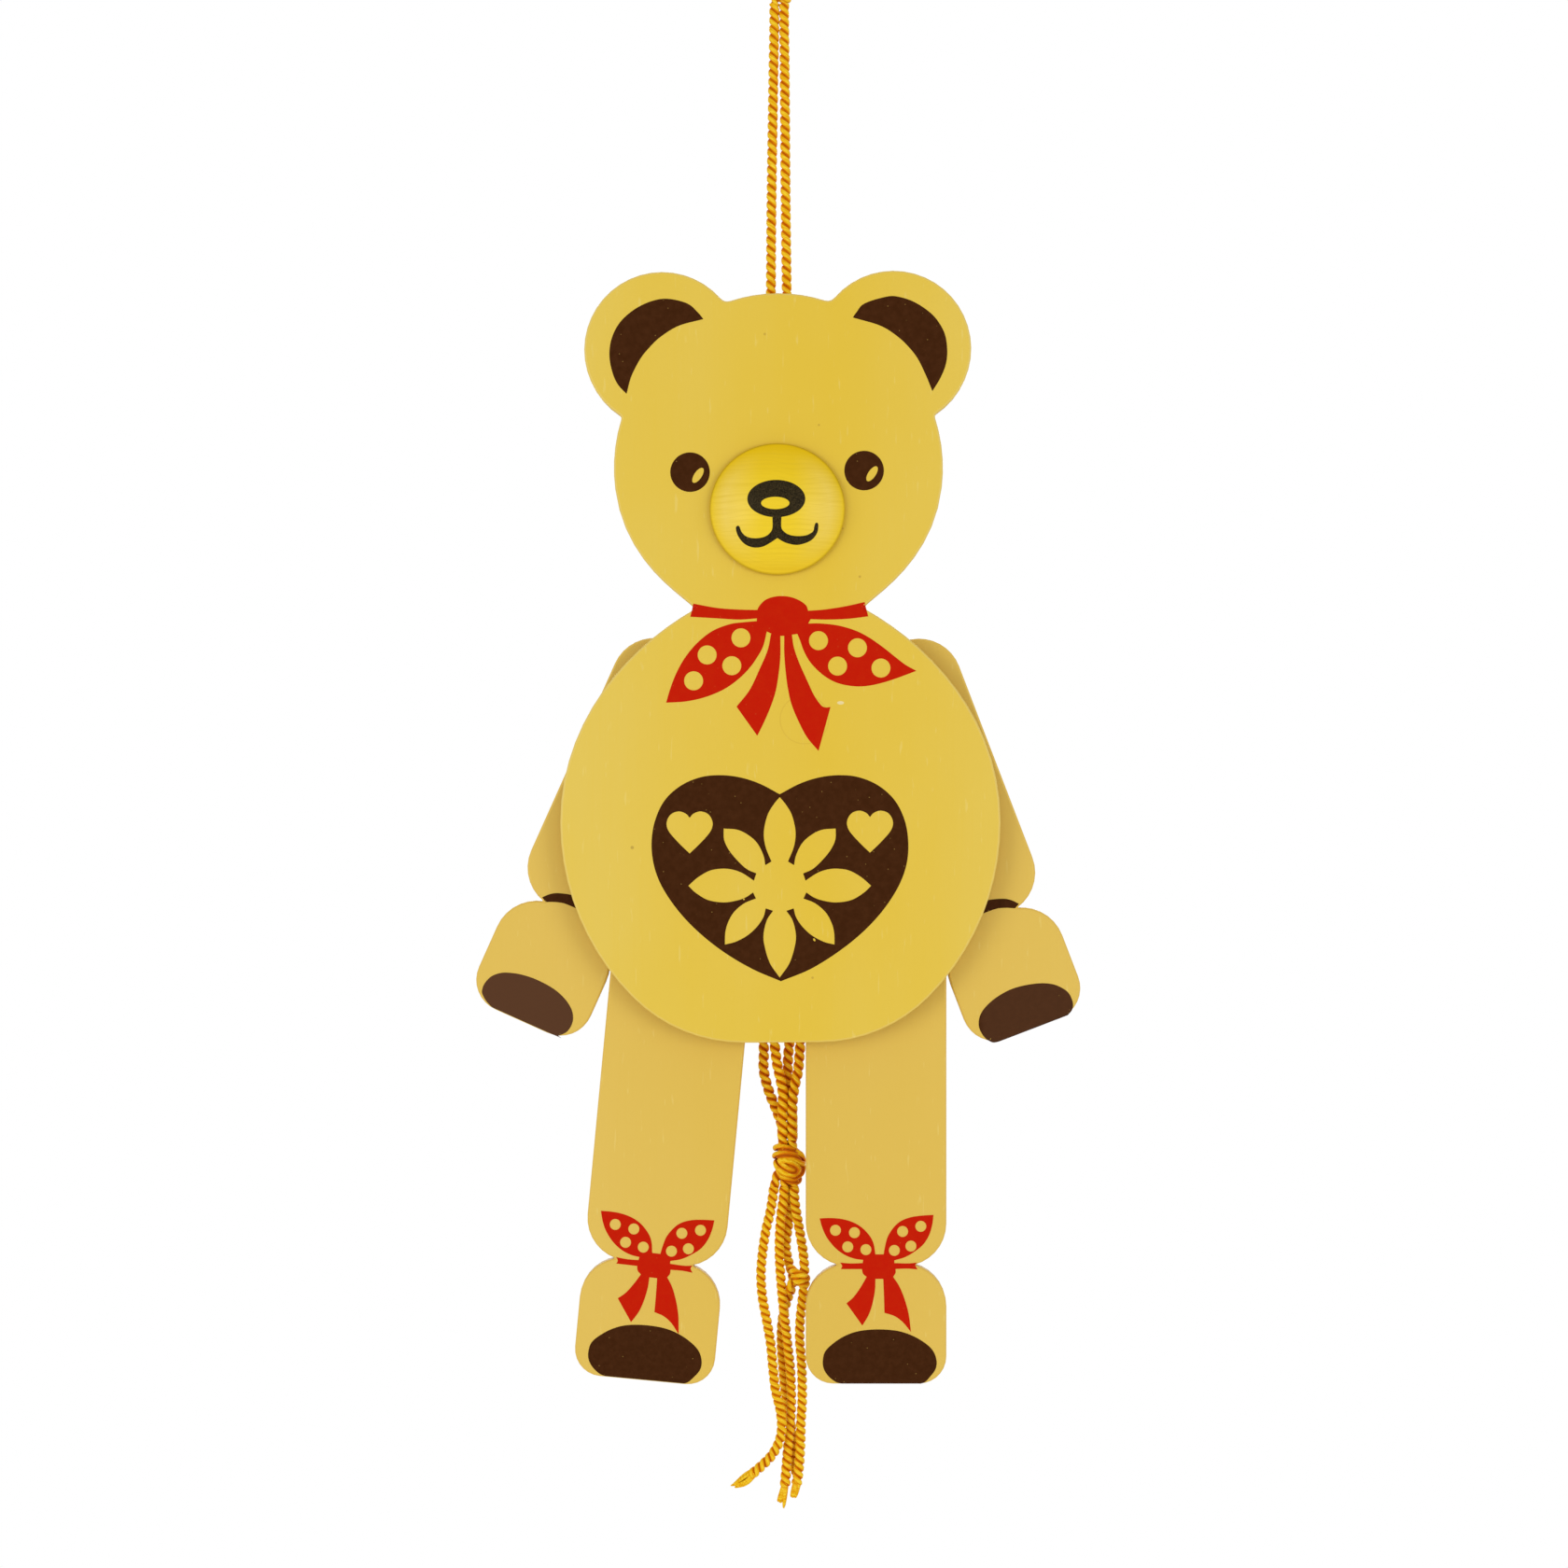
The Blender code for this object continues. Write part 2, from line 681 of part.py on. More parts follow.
def hanging_cords():
    """Two strands from the staple up to a knot, and the loop over the knot."""
    below = STAPLE_Z - STAPLE_WIRE_D / 2 - GAP - STOP_KNOT_R
    stop_y = PLATE_BACK + GAP + STOP_KNOT_R
    knot_low = HANG_KNOT_Z - HANG_KNOT_H / 2 - GAP
    strand_x = {"left": (-2.3, -2.2, -2.0, -1.6, -1.3), "right": (2.3, 2.0, 1.6, 1.4, 1.2)}
    for side in SIDES:
        foot_x, *up_x = (x * MM for x in strand_x[side])
        knot(f"{side}_strand_knot", (2 * STOP_KNOT_R,) * 3, (foot_x, stop_y, TORSO_Z + below))
        start = TORSO_Z + below + STOP_KNOT_R + GAP
        run = knot_low - start
        route = [Vector((foot_x, 0.3 * MM, start))]
        for x, share in zip(up_x, (0.12, 0.45, 0.75, 0.95)):
            route.append(Vector((x, 0, start + run * share)))
        route.append(Vector((up_x[-1], 0, knot_low)))
        cord(f"{side}_hanging_strand", route)
    size = (HANG_KNOT_W, HANG_KNOT_D, HANG_KNOT_H)
    knot("hanging_knot", size, (0, 0, HANG_KNOT_Z), turns=2)
    foot = HANG_KNOT_Z + HANG_KNOT_H / 2 + GAP
    top = -CORD_D / 2
    height = top - foot
    half = [(1.25, 0), (1.5, 0.13), (3.4, 0.4), (5.2, 0.68), (4.0, 0.93)]
    right = [Vector((x * MM, 0, foot + height * share)) for x, share in half]
    left = [Vector((-p.x, 0, p.z)) for p in reversed(right)]
    cord("hanging_loop", [*right, Vector((0, 0, top)), *left])


def limb_cord(kind, side, route, pull):
    """A cord that starts straight down under a limb's knot and follows its route.

    The knot swings inward and back as the limb turns, so the cord starts under the middle of
    that stretch.
    """
    x, z = cord_hole_place(kind, side)
    radius, swing = CORD_SWINGS[kind]
    inward = -SIDES[side] * radius * (1 - math.cos(swing / 2)) / 2
    clear = LIMB_KNOT_R + GAP + KNOT_LEAD
    under = Vector((x + inward, PULL_Y, TORSO_Z + z - clear))
    straight = Vector((0, 0, -CORD_D))
    cord(f"{side}_{kind}_cord", [under, under + straight, *torso_points(*route)], pull)


def pull_cords():
    """Four limb cords into one knot, and the four tails under it."""
    pull = bpy.data.objects.new("pull", None)
    pull.location = (PULL_KNOT_X, PULL_KNOT_Y, TORSO_Z + PULL_KNOT_Z)
    TOY.objects.link(pull)
    knot("pull_knot", (PULL_KNOT_W, PULL_KNOT_D, PULL_KNOT_H), (0, 0, 0), pull, turns=3)
    limb_cord("leg", "left", LEFT_LEG_ROUTE, pull)
    limb_cord("leg", "right", RIGHT_LEG_ROUTE, pull)
    limb_cord("arm", "left", LEFT_ARM_ROUTE, pull)
    limb_cord("arm", "right", RIGHT_ARM_ROUTE, pull)
    for i, route in enumerate(TAIL_ROUTES):
        cord(f"tail_{i + 1}", torso_points(*route), pull)
    depth = PULL_Y - CORD_D / 2 - GAP - TAIL_KNOT_D / 2
    place = Vector((TAIL_KNOT_X, depth, TORSO_Z + TAIL_KNOT_Z)) - pull.location
    knot("tail_knot", (TAIL_KNOT_W, TAIL_KNOT_D, TAIL_KNOT_H), place, pull)


# Cord routes: x, depth and height over the belly's level, in millimetres
LEFT_LEG_ROUTE = (
    (-12.3, 6.7, -39.0),
    (-8.4, 7.2, -46.5),
    (-4.8, 8.0, -54.0),
    (-4.0, 8.6, -60.0),
    (-4.0, 9.1, -66.0),
    (-2.6, 9.1, -71.5),
    (-0.9, 9.1, -75.7),
    (0.5, 9.1, -79.5),
    (0.8, 9.1, -81.5),
    (0.9, 9.1, -83.4),
)
RIGHT_LEG_ROUTE = (
    (13.0, 6.7, -39.0),
    (9.0, 6.7, -47.0),
    (5.8, 6.7, -55.0),
    (5.2, 6.7, -61.0),
    (4.8, 6.7, -65.5),
    (4.1, 6.7, -68.8),
    (3.6, 6.7, -71.5),
    (3.3, 6.7, -75.0),
    (3.3, 6.6, -79.0),
    (3.3, 6.6, -81.5),
    (3.3, 6.6, -83.4),
)
LEFT_ARM_ROUTE = (
    (-19.5, 6.7, 19.0),
    (-14.5, 6.7, 0.0),
    (-10.2, 6.7, -18.0),
    (-6.6, 6.7, -35.0),
    (-2.9, 6.7, -50.0),
    (-1.4, 6.7, -58.0),
    (-0.6, 6.7, -64.0),
    (0.4, 6.7, -68.5),
    (0.9, 6.7, -72.0),
    (0.8, 6.6, -77.0),
    (0.8, 6.6, -81.5),
    (0.8, 6.6, -83.4),
)
RIGHT_ARM_ROUTE = (
    (21.5, 6.7, 19.0),
    (16.0, 6.7, 0.0),
    (11.0, 6.9, -18.0),
    (7.0, 7.7, -35.0),
    (4.2, 8.9, -48.0),
    (2.8, 9.1, -57.0),
    (2.2, 9.1, -63.0),
    (2.2, 9.1, -68.0),
    (2.8, 9.1, -73.0),
    (3.2, 9.1, -77.0),
    (3.3, 9.1, -81.5),
    (3.3, 9.1, -83.4),
)
TAIL_ROUTES = (
    (
        (-1.4, 6.7, -95.4),
        (-1.7, 6.7, -98.0),
        (-2.4, 6.7, -102.2),
        (-3.4, 6.7, -106.3),
        (-4.3, 6.7, -112.2),
        (-4.7, 6.7, -118.0),
        (-4.3, 6.6, -123.8),
        (-3.2, 6.4, -129.7),
        (-2.2, 6.1, -135.6),
        (-1.7, 5.7, -141.0),
        (-1.0, 5.5, -147.0),
        (0.2, 5.5, -152.0),
        (0.6, 5.5, -156.5),
        (0.0, 5.5, -160.0),
        (-1.8, 5.6, -163.5),
        (-4.4, 5.8, -166.3),
        (-7.2, 6.0, -168.7),
        (-9.6, 6.1, -170.2),
        (-11.8, 6.2, -171.0),
    ),
    (
        (1.2, 6.7, -95.4),
        (1.1, 6.7, -98.0),
        (0.5, 6.7, -102.2),
        (0.1, 6.7, -107.0),
        (0.0, 6.7, -112.2),
        (0.3, 6.7, -118.0),
        (0.8, 6.7, -124.0),
        (1.4, 6.9, -129.5),
        (2.0, 7.1, -135.0),
        (2.7, 7.4, -141.0),
        (3.0, 7.6, -147.0),
        (3.0, 7.6, -152.2),
        (2.7, 7.6, -157.0),
        (2.2, 7.5, -162.0),
        (1.8, 7.3, -167.0),
        (1.4, 7.1, -172.0),
        (1.0, 7.0, -176.3),
    ),
    (
        (2.2, 9.1, -95.4),
        (2.5, 9.1, -99.3),
        (2.6, 9.1, -103.0),
        (2.0, 9.1, -107.5),
        (1.7, 9.1, -111.5),
        (2.5, 9.1, -115.5),
        (3.4, 9.1, -118.5),
        (3.0, 9.1, -121.8),
        (1.9, 9.2, -125.0),
        (0.8, 9.4, -129.5),
        (0.5, 9.6, -135.5),
        (0.9, 9.9, -142.0),
        (1.4, 10.0, -147.5),
        (2.3, 10.0, -153.5),
        (3.3, 10.0, -159.3),
        (3.6, 9.8, -164.0),
        (3.7, 9.6, -168.6),
    ),
    (
        (3.8, 6.7, -95.4),
        (3.9, 6.7, -99.0),
        (4.6, 6.7, -103.5),
        (5.4, 6.7, -108.0),
        (6.1, 6.7, -112.5),
        (6.4, 6.7, -117.0),
        (6.2, 6.7, -121.0),
        (5.8, 6.7, -124.8),
        (5.3, 6.7, -129.5),
        (5.2, 6.7, -134.7),
        (5.6, 6.8, -139.5),
        (5.8, 7.0, -145.0),
        (5.8, 7.1, -150.5),
        (5.5, 7.1, -155.5),
        (5.4, 7.1, -160.5),
        (5.1, 7.0, -165.7),
        (4.6, 6.9, -170.0),
        (3.9, 6.8, -173.6),
    ),
)

clear_scene()
TOY = new_collection("jumping_jack")
CUTTERS = new_collection("cutters")

BODY_PAINT = material("plate_paint", (226, 195, 76), 0.45)
LIMB_PAINT = material("limb_paint", (223, 189, 86), 0.45)
MUZZLE_PAINT = material("muzzle_paint", (233, 200, 50), 0.4)
PIN_LOOK = material("dowel_wood", (214, 180, 130), 0.6)
FIBRE = material("fibre_washer", (120, 60, 45), 0.7)
STEEL = material("bright_steel", (190, 190, 190), 0.3, 1.0)
CORD_LOOK = material("gold_cord", (222, 160, 24), 0.55)

BODY_OUTLINE = body_outline()
ARM_SHAPE = (ARM_W, ARM_TOP, WRIST, ARM_END, WRIST_W, WRIST_R, PAW_INNER_R, PAW_R)
LEG_SHAPE = (LEG_W, LEG_TOP, ANKLE, LEG_END, ANKLE_W, ANKLE_R, ANKLE_R, FOOT_R)
OUTLINES = {"arm": limb_outlines(*ARM_SHAPE), "leg": limb_outlines(*LEG_SHAPE)}
PIVOTS = {
    side: {
        "arm": (ARM_PIVOT_X[side], ARM_PIVOT_Z),
        "leg": (LEG_PIVOT_X[side], LEG_PIVOT_Z[side]),
    }
    for side in SIDES
}
TILTS = {side: {"arm": arm_rest_tilt(side), "leg": LEG_TILT[side]} for side in SIDES}

CORD_SWINGS = {"arm": (ARM_CORD_R, ARM_SWING), "leg": (LEG_CORD_R, LEG_SWING)}
CORD_HOLES = {
    kind: cord_hole(*CORD_SWINGS[kind], TILTS["right"][kind]) for kind in CORD_SWINGS
}

body_plate()
muzzle()
staple()
hanging_cords()
for the_side in SIDES:
    for the_kind in ("arm", "leg"):
        pivot(the_kind, the_side)
        limb_knot(the_kind, the_side, limb(the_kind, the_side))
pull_cords()
bpy.context.view_layer.update()
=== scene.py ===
# %% [markdown]
# # A jumping jack made of plywood
# The toy is a flat painted bear that hangs on a twisted cord. A tug on the tails under it swings
# its arms and legs outward. The parts come in from CAD with the right sizes and the right joints,
# and this lesson dresses them: real cord in place of plain tubes, sanded edges, paint and print.

# %% Load the CAD parts
import json
import math
import random

import bpy
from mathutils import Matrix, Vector

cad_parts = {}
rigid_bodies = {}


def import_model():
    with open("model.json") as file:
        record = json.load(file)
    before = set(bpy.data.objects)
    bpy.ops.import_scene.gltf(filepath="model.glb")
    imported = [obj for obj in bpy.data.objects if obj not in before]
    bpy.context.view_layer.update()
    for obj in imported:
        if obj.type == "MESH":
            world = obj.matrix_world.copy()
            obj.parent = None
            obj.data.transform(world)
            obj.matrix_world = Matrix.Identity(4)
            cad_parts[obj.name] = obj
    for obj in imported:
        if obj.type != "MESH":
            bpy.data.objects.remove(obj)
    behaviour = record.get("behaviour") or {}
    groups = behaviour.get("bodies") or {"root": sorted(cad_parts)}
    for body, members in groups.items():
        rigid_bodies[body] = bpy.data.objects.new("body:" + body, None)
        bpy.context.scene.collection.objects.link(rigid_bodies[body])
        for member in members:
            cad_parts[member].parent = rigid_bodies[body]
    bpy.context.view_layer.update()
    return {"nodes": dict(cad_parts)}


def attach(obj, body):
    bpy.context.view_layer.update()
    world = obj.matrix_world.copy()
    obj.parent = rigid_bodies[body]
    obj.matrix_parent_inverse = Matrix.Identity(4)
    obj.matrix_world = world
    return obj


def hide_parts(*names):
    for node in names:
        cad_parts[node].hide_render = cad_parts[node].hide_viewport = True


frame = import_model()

NODES = frame["nodes"]

# %% [markdown]
# ## The planes of the toy
# Everything is measured in millimetres from the top of the hanging loop, with the front of the
# toy facing -Y. A flat toy is a stack of layers, so a few depths place nearly every piece: the
# front and back of the body, the front and back of the limbs, and the plane of the cords.

# %% Name the planes
MM = 0.001
TORSO_Z = -232.0
PLATE_FRONT = -5.35
PLATE_BACK = -1.35
LIMB_FRONT = 0.15
LIMB_BACK = 4.15
CORD_D = 2.1
PULL_Y = 6.65
SIDES = {"left": -1, "right": 1}
PIVOTS = {
    "left_arm": (-28.8, -203.1),
    "right_arm": (32.2, -203.1),
    "left_leg": (-24.45, -267.4),
    "right_leg": (24.5, -267.8),
}
TILTS = {"left_arm": -24.13, "right_arm": 20.97, "left_leg": -5.4, "right_leg": 0.0}
print("Body", PLATE_BACK - PLATE_FRONT, "mm thick, limbs", LIMB_BACK - LIMB_FRONT, "mm thick")


def place(x, y, z):
    return Vector((x, y, z)) * MM


# %% [markdown]
# ## The camera
# The photograph looks straight at the front from about 80 cm. At that distance the picture is
# 394 mm wide on the front of the plate. A lens could be guessed and tried out, but these two
# lengths give it at once: it is to the sensor as the distance is to the width.

# %% Set up the camera
VIEW_WIDTH = 394.3
VIEW_DISTANCE = 806.0
SENSOR = 36.0
VIEW_MIDDLE = (1.17, -224.61)
eye = place(VIEW_MIDDLE[0], PLATE_FRONT - VIEW_DISTANCE, VIEW_MIDDLE[1])
bpy.ops.object.camera_add(location=eye, rotation=(math.pi / 2, 0, 0))
camera = bpy.context.object
camera.data.sensor_width = SENSOR
camera.data.lens = SENSOR * VIEW_DISTANCE / VIEW_WIDTH
bpy.context.scene.camera = camera
print("Lens:", round(camera.data.lens, 1), "mm")

# %% [markdown]
# ## Writing a material as a sum
# A material is a graph of nodes, and most of it is arithmetic. This small class wraps a node's
# output, so that `1 - mask * 0.2` adds the Math nodes by itself. Colours go through Mix nodes,
# because a Math node would turn them grey.


# %% Sockets that can be added up
class Socket:
    """The output of a node, for use in a Python expression."""

    def __init__(self, graph, output):
        self.graph = graph
        self.output = output

    def maths(self, operation, first, second=0.0):
        return self.graph.maths(operation, first, second)

    def __add__(self, other):
        return self.maths("ADD", self, other)

    def __sub__(self, other):
        return self.maths("SUBTRACT", self, other)

    def __rsub__(self, other):
        return self.maths("SUBTRACT", other, self)

    def __mul__(self, other):
        return self.maths("MULTIPLY", self, other)

    def __truediv__(self, other):
        return self.maths("DIVIDE", self, other)

    def __pow__(self, other):
        return self.maths("POWER", self, other)

    __radd__ = __add__
    __rmul__ = __mul__

    def size(self):
        return self.maths("ABSOLUTE", self)

    def wave(self):
        return self.maths("SINE", self)

    def clamped(self, low, high):
        """0 up to low, 1 from high, and a straight ramp between them."""
        values = {"Value": self, "From Min": low, "From Max": high}
        return self.graph.node("MapRange", {"clamp": True}, values)


# %% [markdown]
# A graph is a tree of nodes. Its `node` method adds any node: the settings first, then the values
# or links of its sockets. A finish is the graph of one material, and the few patterns that wood,
# paint and cord share are its methods. The patterns of wood and paint read the coordinates of the
# piece itself, in millimetres, so a grain has the same size on a large plate and on a small one.


# %% Graphs and finishes
def colour(red, green, blue):
    """A colour as a screen shows it, 0 to 255, turned into the linear one that a shader takes."""
    shares = [value / 255 for value in (red, green, blue)]
    return [c / 12.92 if c <= 0.04045 else ((c + 0.055) / 1.055) ** 2.4 for c in shares] + [1]


class Graph:
    """The nodes of a material or of the world."""

    def __init__(self, owner):
        owner.use_nodes = True
        self.tree = owner.node_tree

    def node(self, kind, settings=None, values=None, output=0):
        made = self.tree.nodes.new("ShaderNode" + kind)
        for key, value in (settings or {}).items():
            setattr(made, key, value)
        for key, value in (values or {}).items():
            self.join(value, made.inputs[key])
        return Socket(self, made.outputs[output])

    def maths(self, operation, first, second):
        return self.node("Math", {"operation": operation}, {0: first, 1: second})

    def join(self, value, socket):
        if isinstance(value, Socket):
            self.tree.links.new(value.output, socket)
        else:
            socket.default_value = value


class Finish(Graph):
    """A material with one shader, for the pieces of one slot of the part's record."""

    def __init__(self, slot, roughness=0.5, **values):
        self.slot = slot
        self.material = bpy.data.materials.new(slot + "_finish")
        super().__init__(self.material)
        self.shader = self.tree.nodes["Principled BSDF"]
        self.set("Roughness", roughness)
        for key, value in values.items():
            self.set(key.replace("_", " "), value)
        print("New finish:", slot)

    def set(self, name, value):
        self.join(value, self.shader.inputs[name])

    def place(self, scale=(1, 1, 1), shift=(0, 0, 0), turn=0.0):
        """Object coordinates in millimetres, stretched by scale and turned about Y."""
        seen = self.node("TexCoord", output="Object")
        values = {
            "Vector": seen,
            "Location": shift,
            "Rotation": (0, turn, 0),
            "Scale": [s / MM for s in scale],
        }
        return self.node("Mapping", {"vector_type": "POINT"}, values)

    def axes(self):
        """The object coordinates X, Y and Z in millimetres."""
        seen = self.node("TexCoord", output="Object")
        return [self.node("SeparateXYZ", {}, {0: seen}, output=axis) / MM for axis in "XYZ"]

    def noise(self, where, scale=1.0, detail=2.0, rough=0.5):
        values = {"Vector": where, "Scale": scale, "Detail": detail, "Roughness": rough}
        return self.node("TexNoise", {}, values)

    def mix(self, share, first, second, blend="MIX"):
        settings = {"data_type": "RGBA", "blend_type": blend}
        return self.node("Mix", settings, {0: share, 6: first, 7: second}, output=2)

    def bump(self, height, strength, distance):
        values = {"Height": height, "Strength": strength, "Distance": distance * MM}
        self.set("Normal", self.node("Bump", {}, values))


# %% [markdown]
# ## The gold cord
# The cord is shiny rayon: two strands laid round each other, each a bundle of fine filaments. The
# crowns of the strands get a painted highlight of bright yellow and the hollows a painted shade of
# deep orange brown.
# Stripes painted on a round tube would leave its edge smooth, so the strands get a real shape and
# the finish only follows it. A `crown` value on each vertex says how high on its strand it lies,
# and thin lines along the cord's own UV map stand for the filaments.

# %% Make the finish of the cord
gold_cord = Finish("gold_cord", 0.5, Specular_IOR_Level=0.06)
height = gold_cord.node("Attribute", {"attribute_name": "crown"}, output="Fac")
uv = gold_cord.node("UVMap", {"uv_map": "UVMap"})
slanted = gold_cord.node("Mapping", {}, {"Vector": uv, "Scale": (15, 0.8, 1)})
filaments = gold_cord.noise(slanted, 1.0, 2.0, 0.6)
patches = gold_cord.noise(gold_cord.place((0.5, 0.5, 0.5)), 1.0)
height = height + (patches - 0.5) * 0.5
# Painted shade in the hollows and a painted highlight on the crowns, from the crown value.
tone = gold_cord.mix(height.clamped(-0.4, -0.05), colour(124, 46, 0), colour(202, 98, 0))
tone = gold_cord.mix(height.clamped(-0.05, 0.25), tone, colour(237, 150, 0))
tone = gold_cord.mix(height.clamped(0.25, 0.72), tone, colour(255, 212, 12))
shine = filaments.clamped(0.42, 0.7)
tone = gold_cord.mix((1 - shine) * 0.42, tone, colour(212, 112, 0))
# Painted glints: bright filament lines on the crowns.
tone = gold_cord.mix(shine * height.clamped(0.2, 0.8) * 0.55, tone, colour(255, 234, 84))
gold_cord.set("Base Color", tone)
gold_cord.set("Roughness", 0.5 - shine * 0.15)
gold_cord.bump(filaments, 0.5, 0.05)

# %% [markdown]
# A cord's line is given by a few points. A Bezier curve would need two handles at
# each of them, so here a smooth curve simply runs through the points. Evenly spaced points on it
# carry the strands, because uneven ones would stretch and squeeze their turns.


# %% Smooth lines through a few points
CURVE_STEPS = 12


def smooth_line(route, step):
    """Evenly spaced points on the curve through the route's points."""
    ends = [route[0] * 2 - route[1], *route, route[-1] * 2 - route[-2]]
    fine = []
    for a, b, c, d in zip(ends, ends[1:], ends[2:], ends[3:]):
        for i in range(CURVE_STEPS):
            t = i / CURVE_STEPS
            curve = (2 * a - 5 * b + 4 * c - d) * t * t + (3 * b - a - 3 * c + d) * t**3
            fine.append(0.5 * (2 * b + (c - a) * t + curve))
    fine.append(route[-1].copy())
    return evenly(fine, step)


def line_length(points):
    return sum((q - p).length for p, q in zip(points, points[1:]))


def evenly(line, step):
    """The same line with points at even distances."""
    whole = line_length(line)
    count = max(4, round(whole / step))
    points = [line[0].copy()]
    walked = 0.0
    for p, q in zip(line, line[1:]):
        span = (q - p).length
        while len(points) < count and walked + span >= whole * len(points) / count:
            points.append(p.lerp(q, (whole * len(points) / count - walked) / span))
        walked += span
    return [*points, line[-1].copy()]


# %% [markdown]
# Two separate tubes could be wound round each other, but they would cut into each other at every
# bend. Here the section of the cord is two flattened lobes side by side, in millimetres. Swept
# along a line while it turns, it gives both strands at once. The turn comes from each point's
# tilt, and the stripes fall from upper left to lower right as on the real cord.


# %% Draw the section of the cord
def pick(*objects):
    """Selects these objects alone and makes the first one active."""
    bpy.ops.object.select_all(action="DESELECT")
    for obj in objects:
        obj.select_set(True)
    bpy.context.view_layer.objects.active = objects[0]


def new_curve(name, dimensions="3D"):
    bpy.ops.object.select_all(action="DESELECT")
    bpy.ops.object.add(type="CURVE")
    obj = bpy.context.object
    obj.name = name
    obj.data.dimensions = dimensions
    return obj


def add_line(obj, points, closed=False):
    spline = obj.data.splines.new("POLY")
    spline.use_cyclic_u = closed
    spline.points.add(len(points) - 1)
    for point, co in zip(spline.points, points):
        point.co = (*co, 1)
    return spline


LOBE_OFF = 0.47
LOBE_THICK = 0.59
LOBE_WIDE = 0.78
LOBE_STEPS = 10
section = new_curve("cord_section", "2D")
half_lobe = math.acos(-LOBE_OFF / LOBE_THICK)
lobes = []
for way in (1, -1):
    for i in range(LOBE_STEPS):
        t = half_lobe * (2 * i / LOBE_STEPS - 1)
        x = LOBE_OFF + LOBE_THICK * math.cos(t)
        lobes.append(place(way * x, way * LOBE_WIDE * math.sin(t), 0))
add_line(section, lobes, closed=True)
print("Section of the cord:", len(lobes), "points")

# %% [markdown]
# A swept curve becomes a mesh at once. The second value of its UV map runs round the section, so
# it gives the crowns and the hollows. The two values are swapped, and the one along the cord is
# stretched to millimetres. The turns of a slack cord are shorter than those of a taut one.

# %% Sweep cords and wisps
TAUT_TURN = 4.45
SLACK_TURN = 3.75
GIRTH = 1.22
ROPE_STEP = 0.3 * MM


def girth_at(girth, start, end):
    """A girth is a number, or a function of the millimetres from the start and from the end."""
    return girth(start, end) if callable(girth) else girth


def swept(name, lines, girth=GIRTH, one_turn=TAUT_TURN, shade=0.0):
    """One mesh of cords along the lines, whose strands go round once in one_turn millimetres.

    The shade is a painted shade taken off the crowns, for a cord with deep dark hollows.
    """
    obj = new_curve(name)
    obj.data.bevel_mode = "OBJECT"
    obj.data.bevel_object = section
    obj.data.use_fill_caps = True
    for line in lines:
        spline = add_line(obj, line)
        length = line_length(line) / MM
        turns = length / one_turn
        if line[0] == line[-1]:
            turns = max(1, round(2 * turns)) / 2
        for i, point in enumerate(spline.points):
            share = i / (len(line) - 1)
            point.radius = girth_at(girth, length * share, length * (1 - share))
            point.tilt = -2 * math.pi * turns * share
    pick(obj)
    bpy.ops.object.convert(target="MESH")
    bpy.ops.object.shade_smooth()
    obj = bpy.context.object
    crown = obj.data.attributes.new("crown", "FLOAT", "POINT")
    length = line_length(lines[0]) / MM
    for loop, corner in zip(obj.data.loops, obj.data.uv_layers["UVMap"].data):
        along, around = corner.uv
        crown.data[loop.vertex_index].value = (1 - math.cos(4 * math.pi * around)) / 2 - shade
        corner.uv = (around, along * length)
    return obj


def tubes(name, lines, radius, tapers=None, resolution=2):
    """One mesh of round tubes along the lines. A taper is a list of shares of the radius."""
    obj = new_curve(name)
    obj.data.bevel_depth = radius
    obj.data.bevel_resolution = resolution
    obj.data.use_fill_caps = True
    for i, line in enumerate(lines):
        spline = add_line(obj, line)
        if tapers:
            for point, share in zip(spline.points, tapers[i]):
                point.radius = share
    pick(obj)
    bpy.ops.object.convert(target="MESH")
    bpy.ops.object.shade_smooth()
    return bpy.context.object


def tangents_of(line):
    padded = [line[0] * 2 - line[1], *line, line[-1] * 2 - line[-2]]
    return [(b - a).normalized() for a, b in zip(padded, padded[2:])]


# %% [markdown]
# ## The free cords
# Two strands carry the bear, four cords run from the limbs to one knot, and four tails hang
# under it.
# Each route repeats the line of its CAD solid, so the dressed cord lies where the CAD one lies.


# %% Build and declare one cord
PATH_EVERY = 3


def own(obj, body, finish, *nodes):
    """Gives a piece its body and its finish, and lets it stand for its CAD parts."""
    obj.data.materials.clear()
    obj.data.materials.append(finish.material)
    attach(obj, body)
    if any(nodes):
        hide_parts(*nodes)
    print(f"{obj.name}: {len(obj.data.polygons)} faces, rides on {body}")
    return obj


def free_cord(name, route, body, fray=None, girth=GIRTH, shade=0.0):
    """A cord along its route, in place of the CAD part of the same name."""
    line = smooth_line(route, ROPE_STEP)
    if fray:
        obj = swept(name + "_laid", [line[: -fray.cut]], girth, SLACK_TURN)
        wisps = fray.wisps(line)
        pick(obj, wisps)
        bpy.ops.object.join()
        path = line[:-PATH_EVERY:PATH_EVERY]
    else:
        obj = swept(name + "_laid", [line], girth, TAUT_TURN, shade)
        path = line[::PATH_EVERY] + [line[-1]]
    own(obj, body, gold_cord, name)
    line_length(line)
    print(f"{name}: {line_length(line) / MM:.1f} mm long")


# %% [markdown]
# The two strands start behind the head and come together at a knot, and the loop over the knot
# takes the nail. The strands are pulled straight by the weight of the bear, so a few points are
# enough for them. The loop is drawn as its right half, and the left half is the same mirrored.

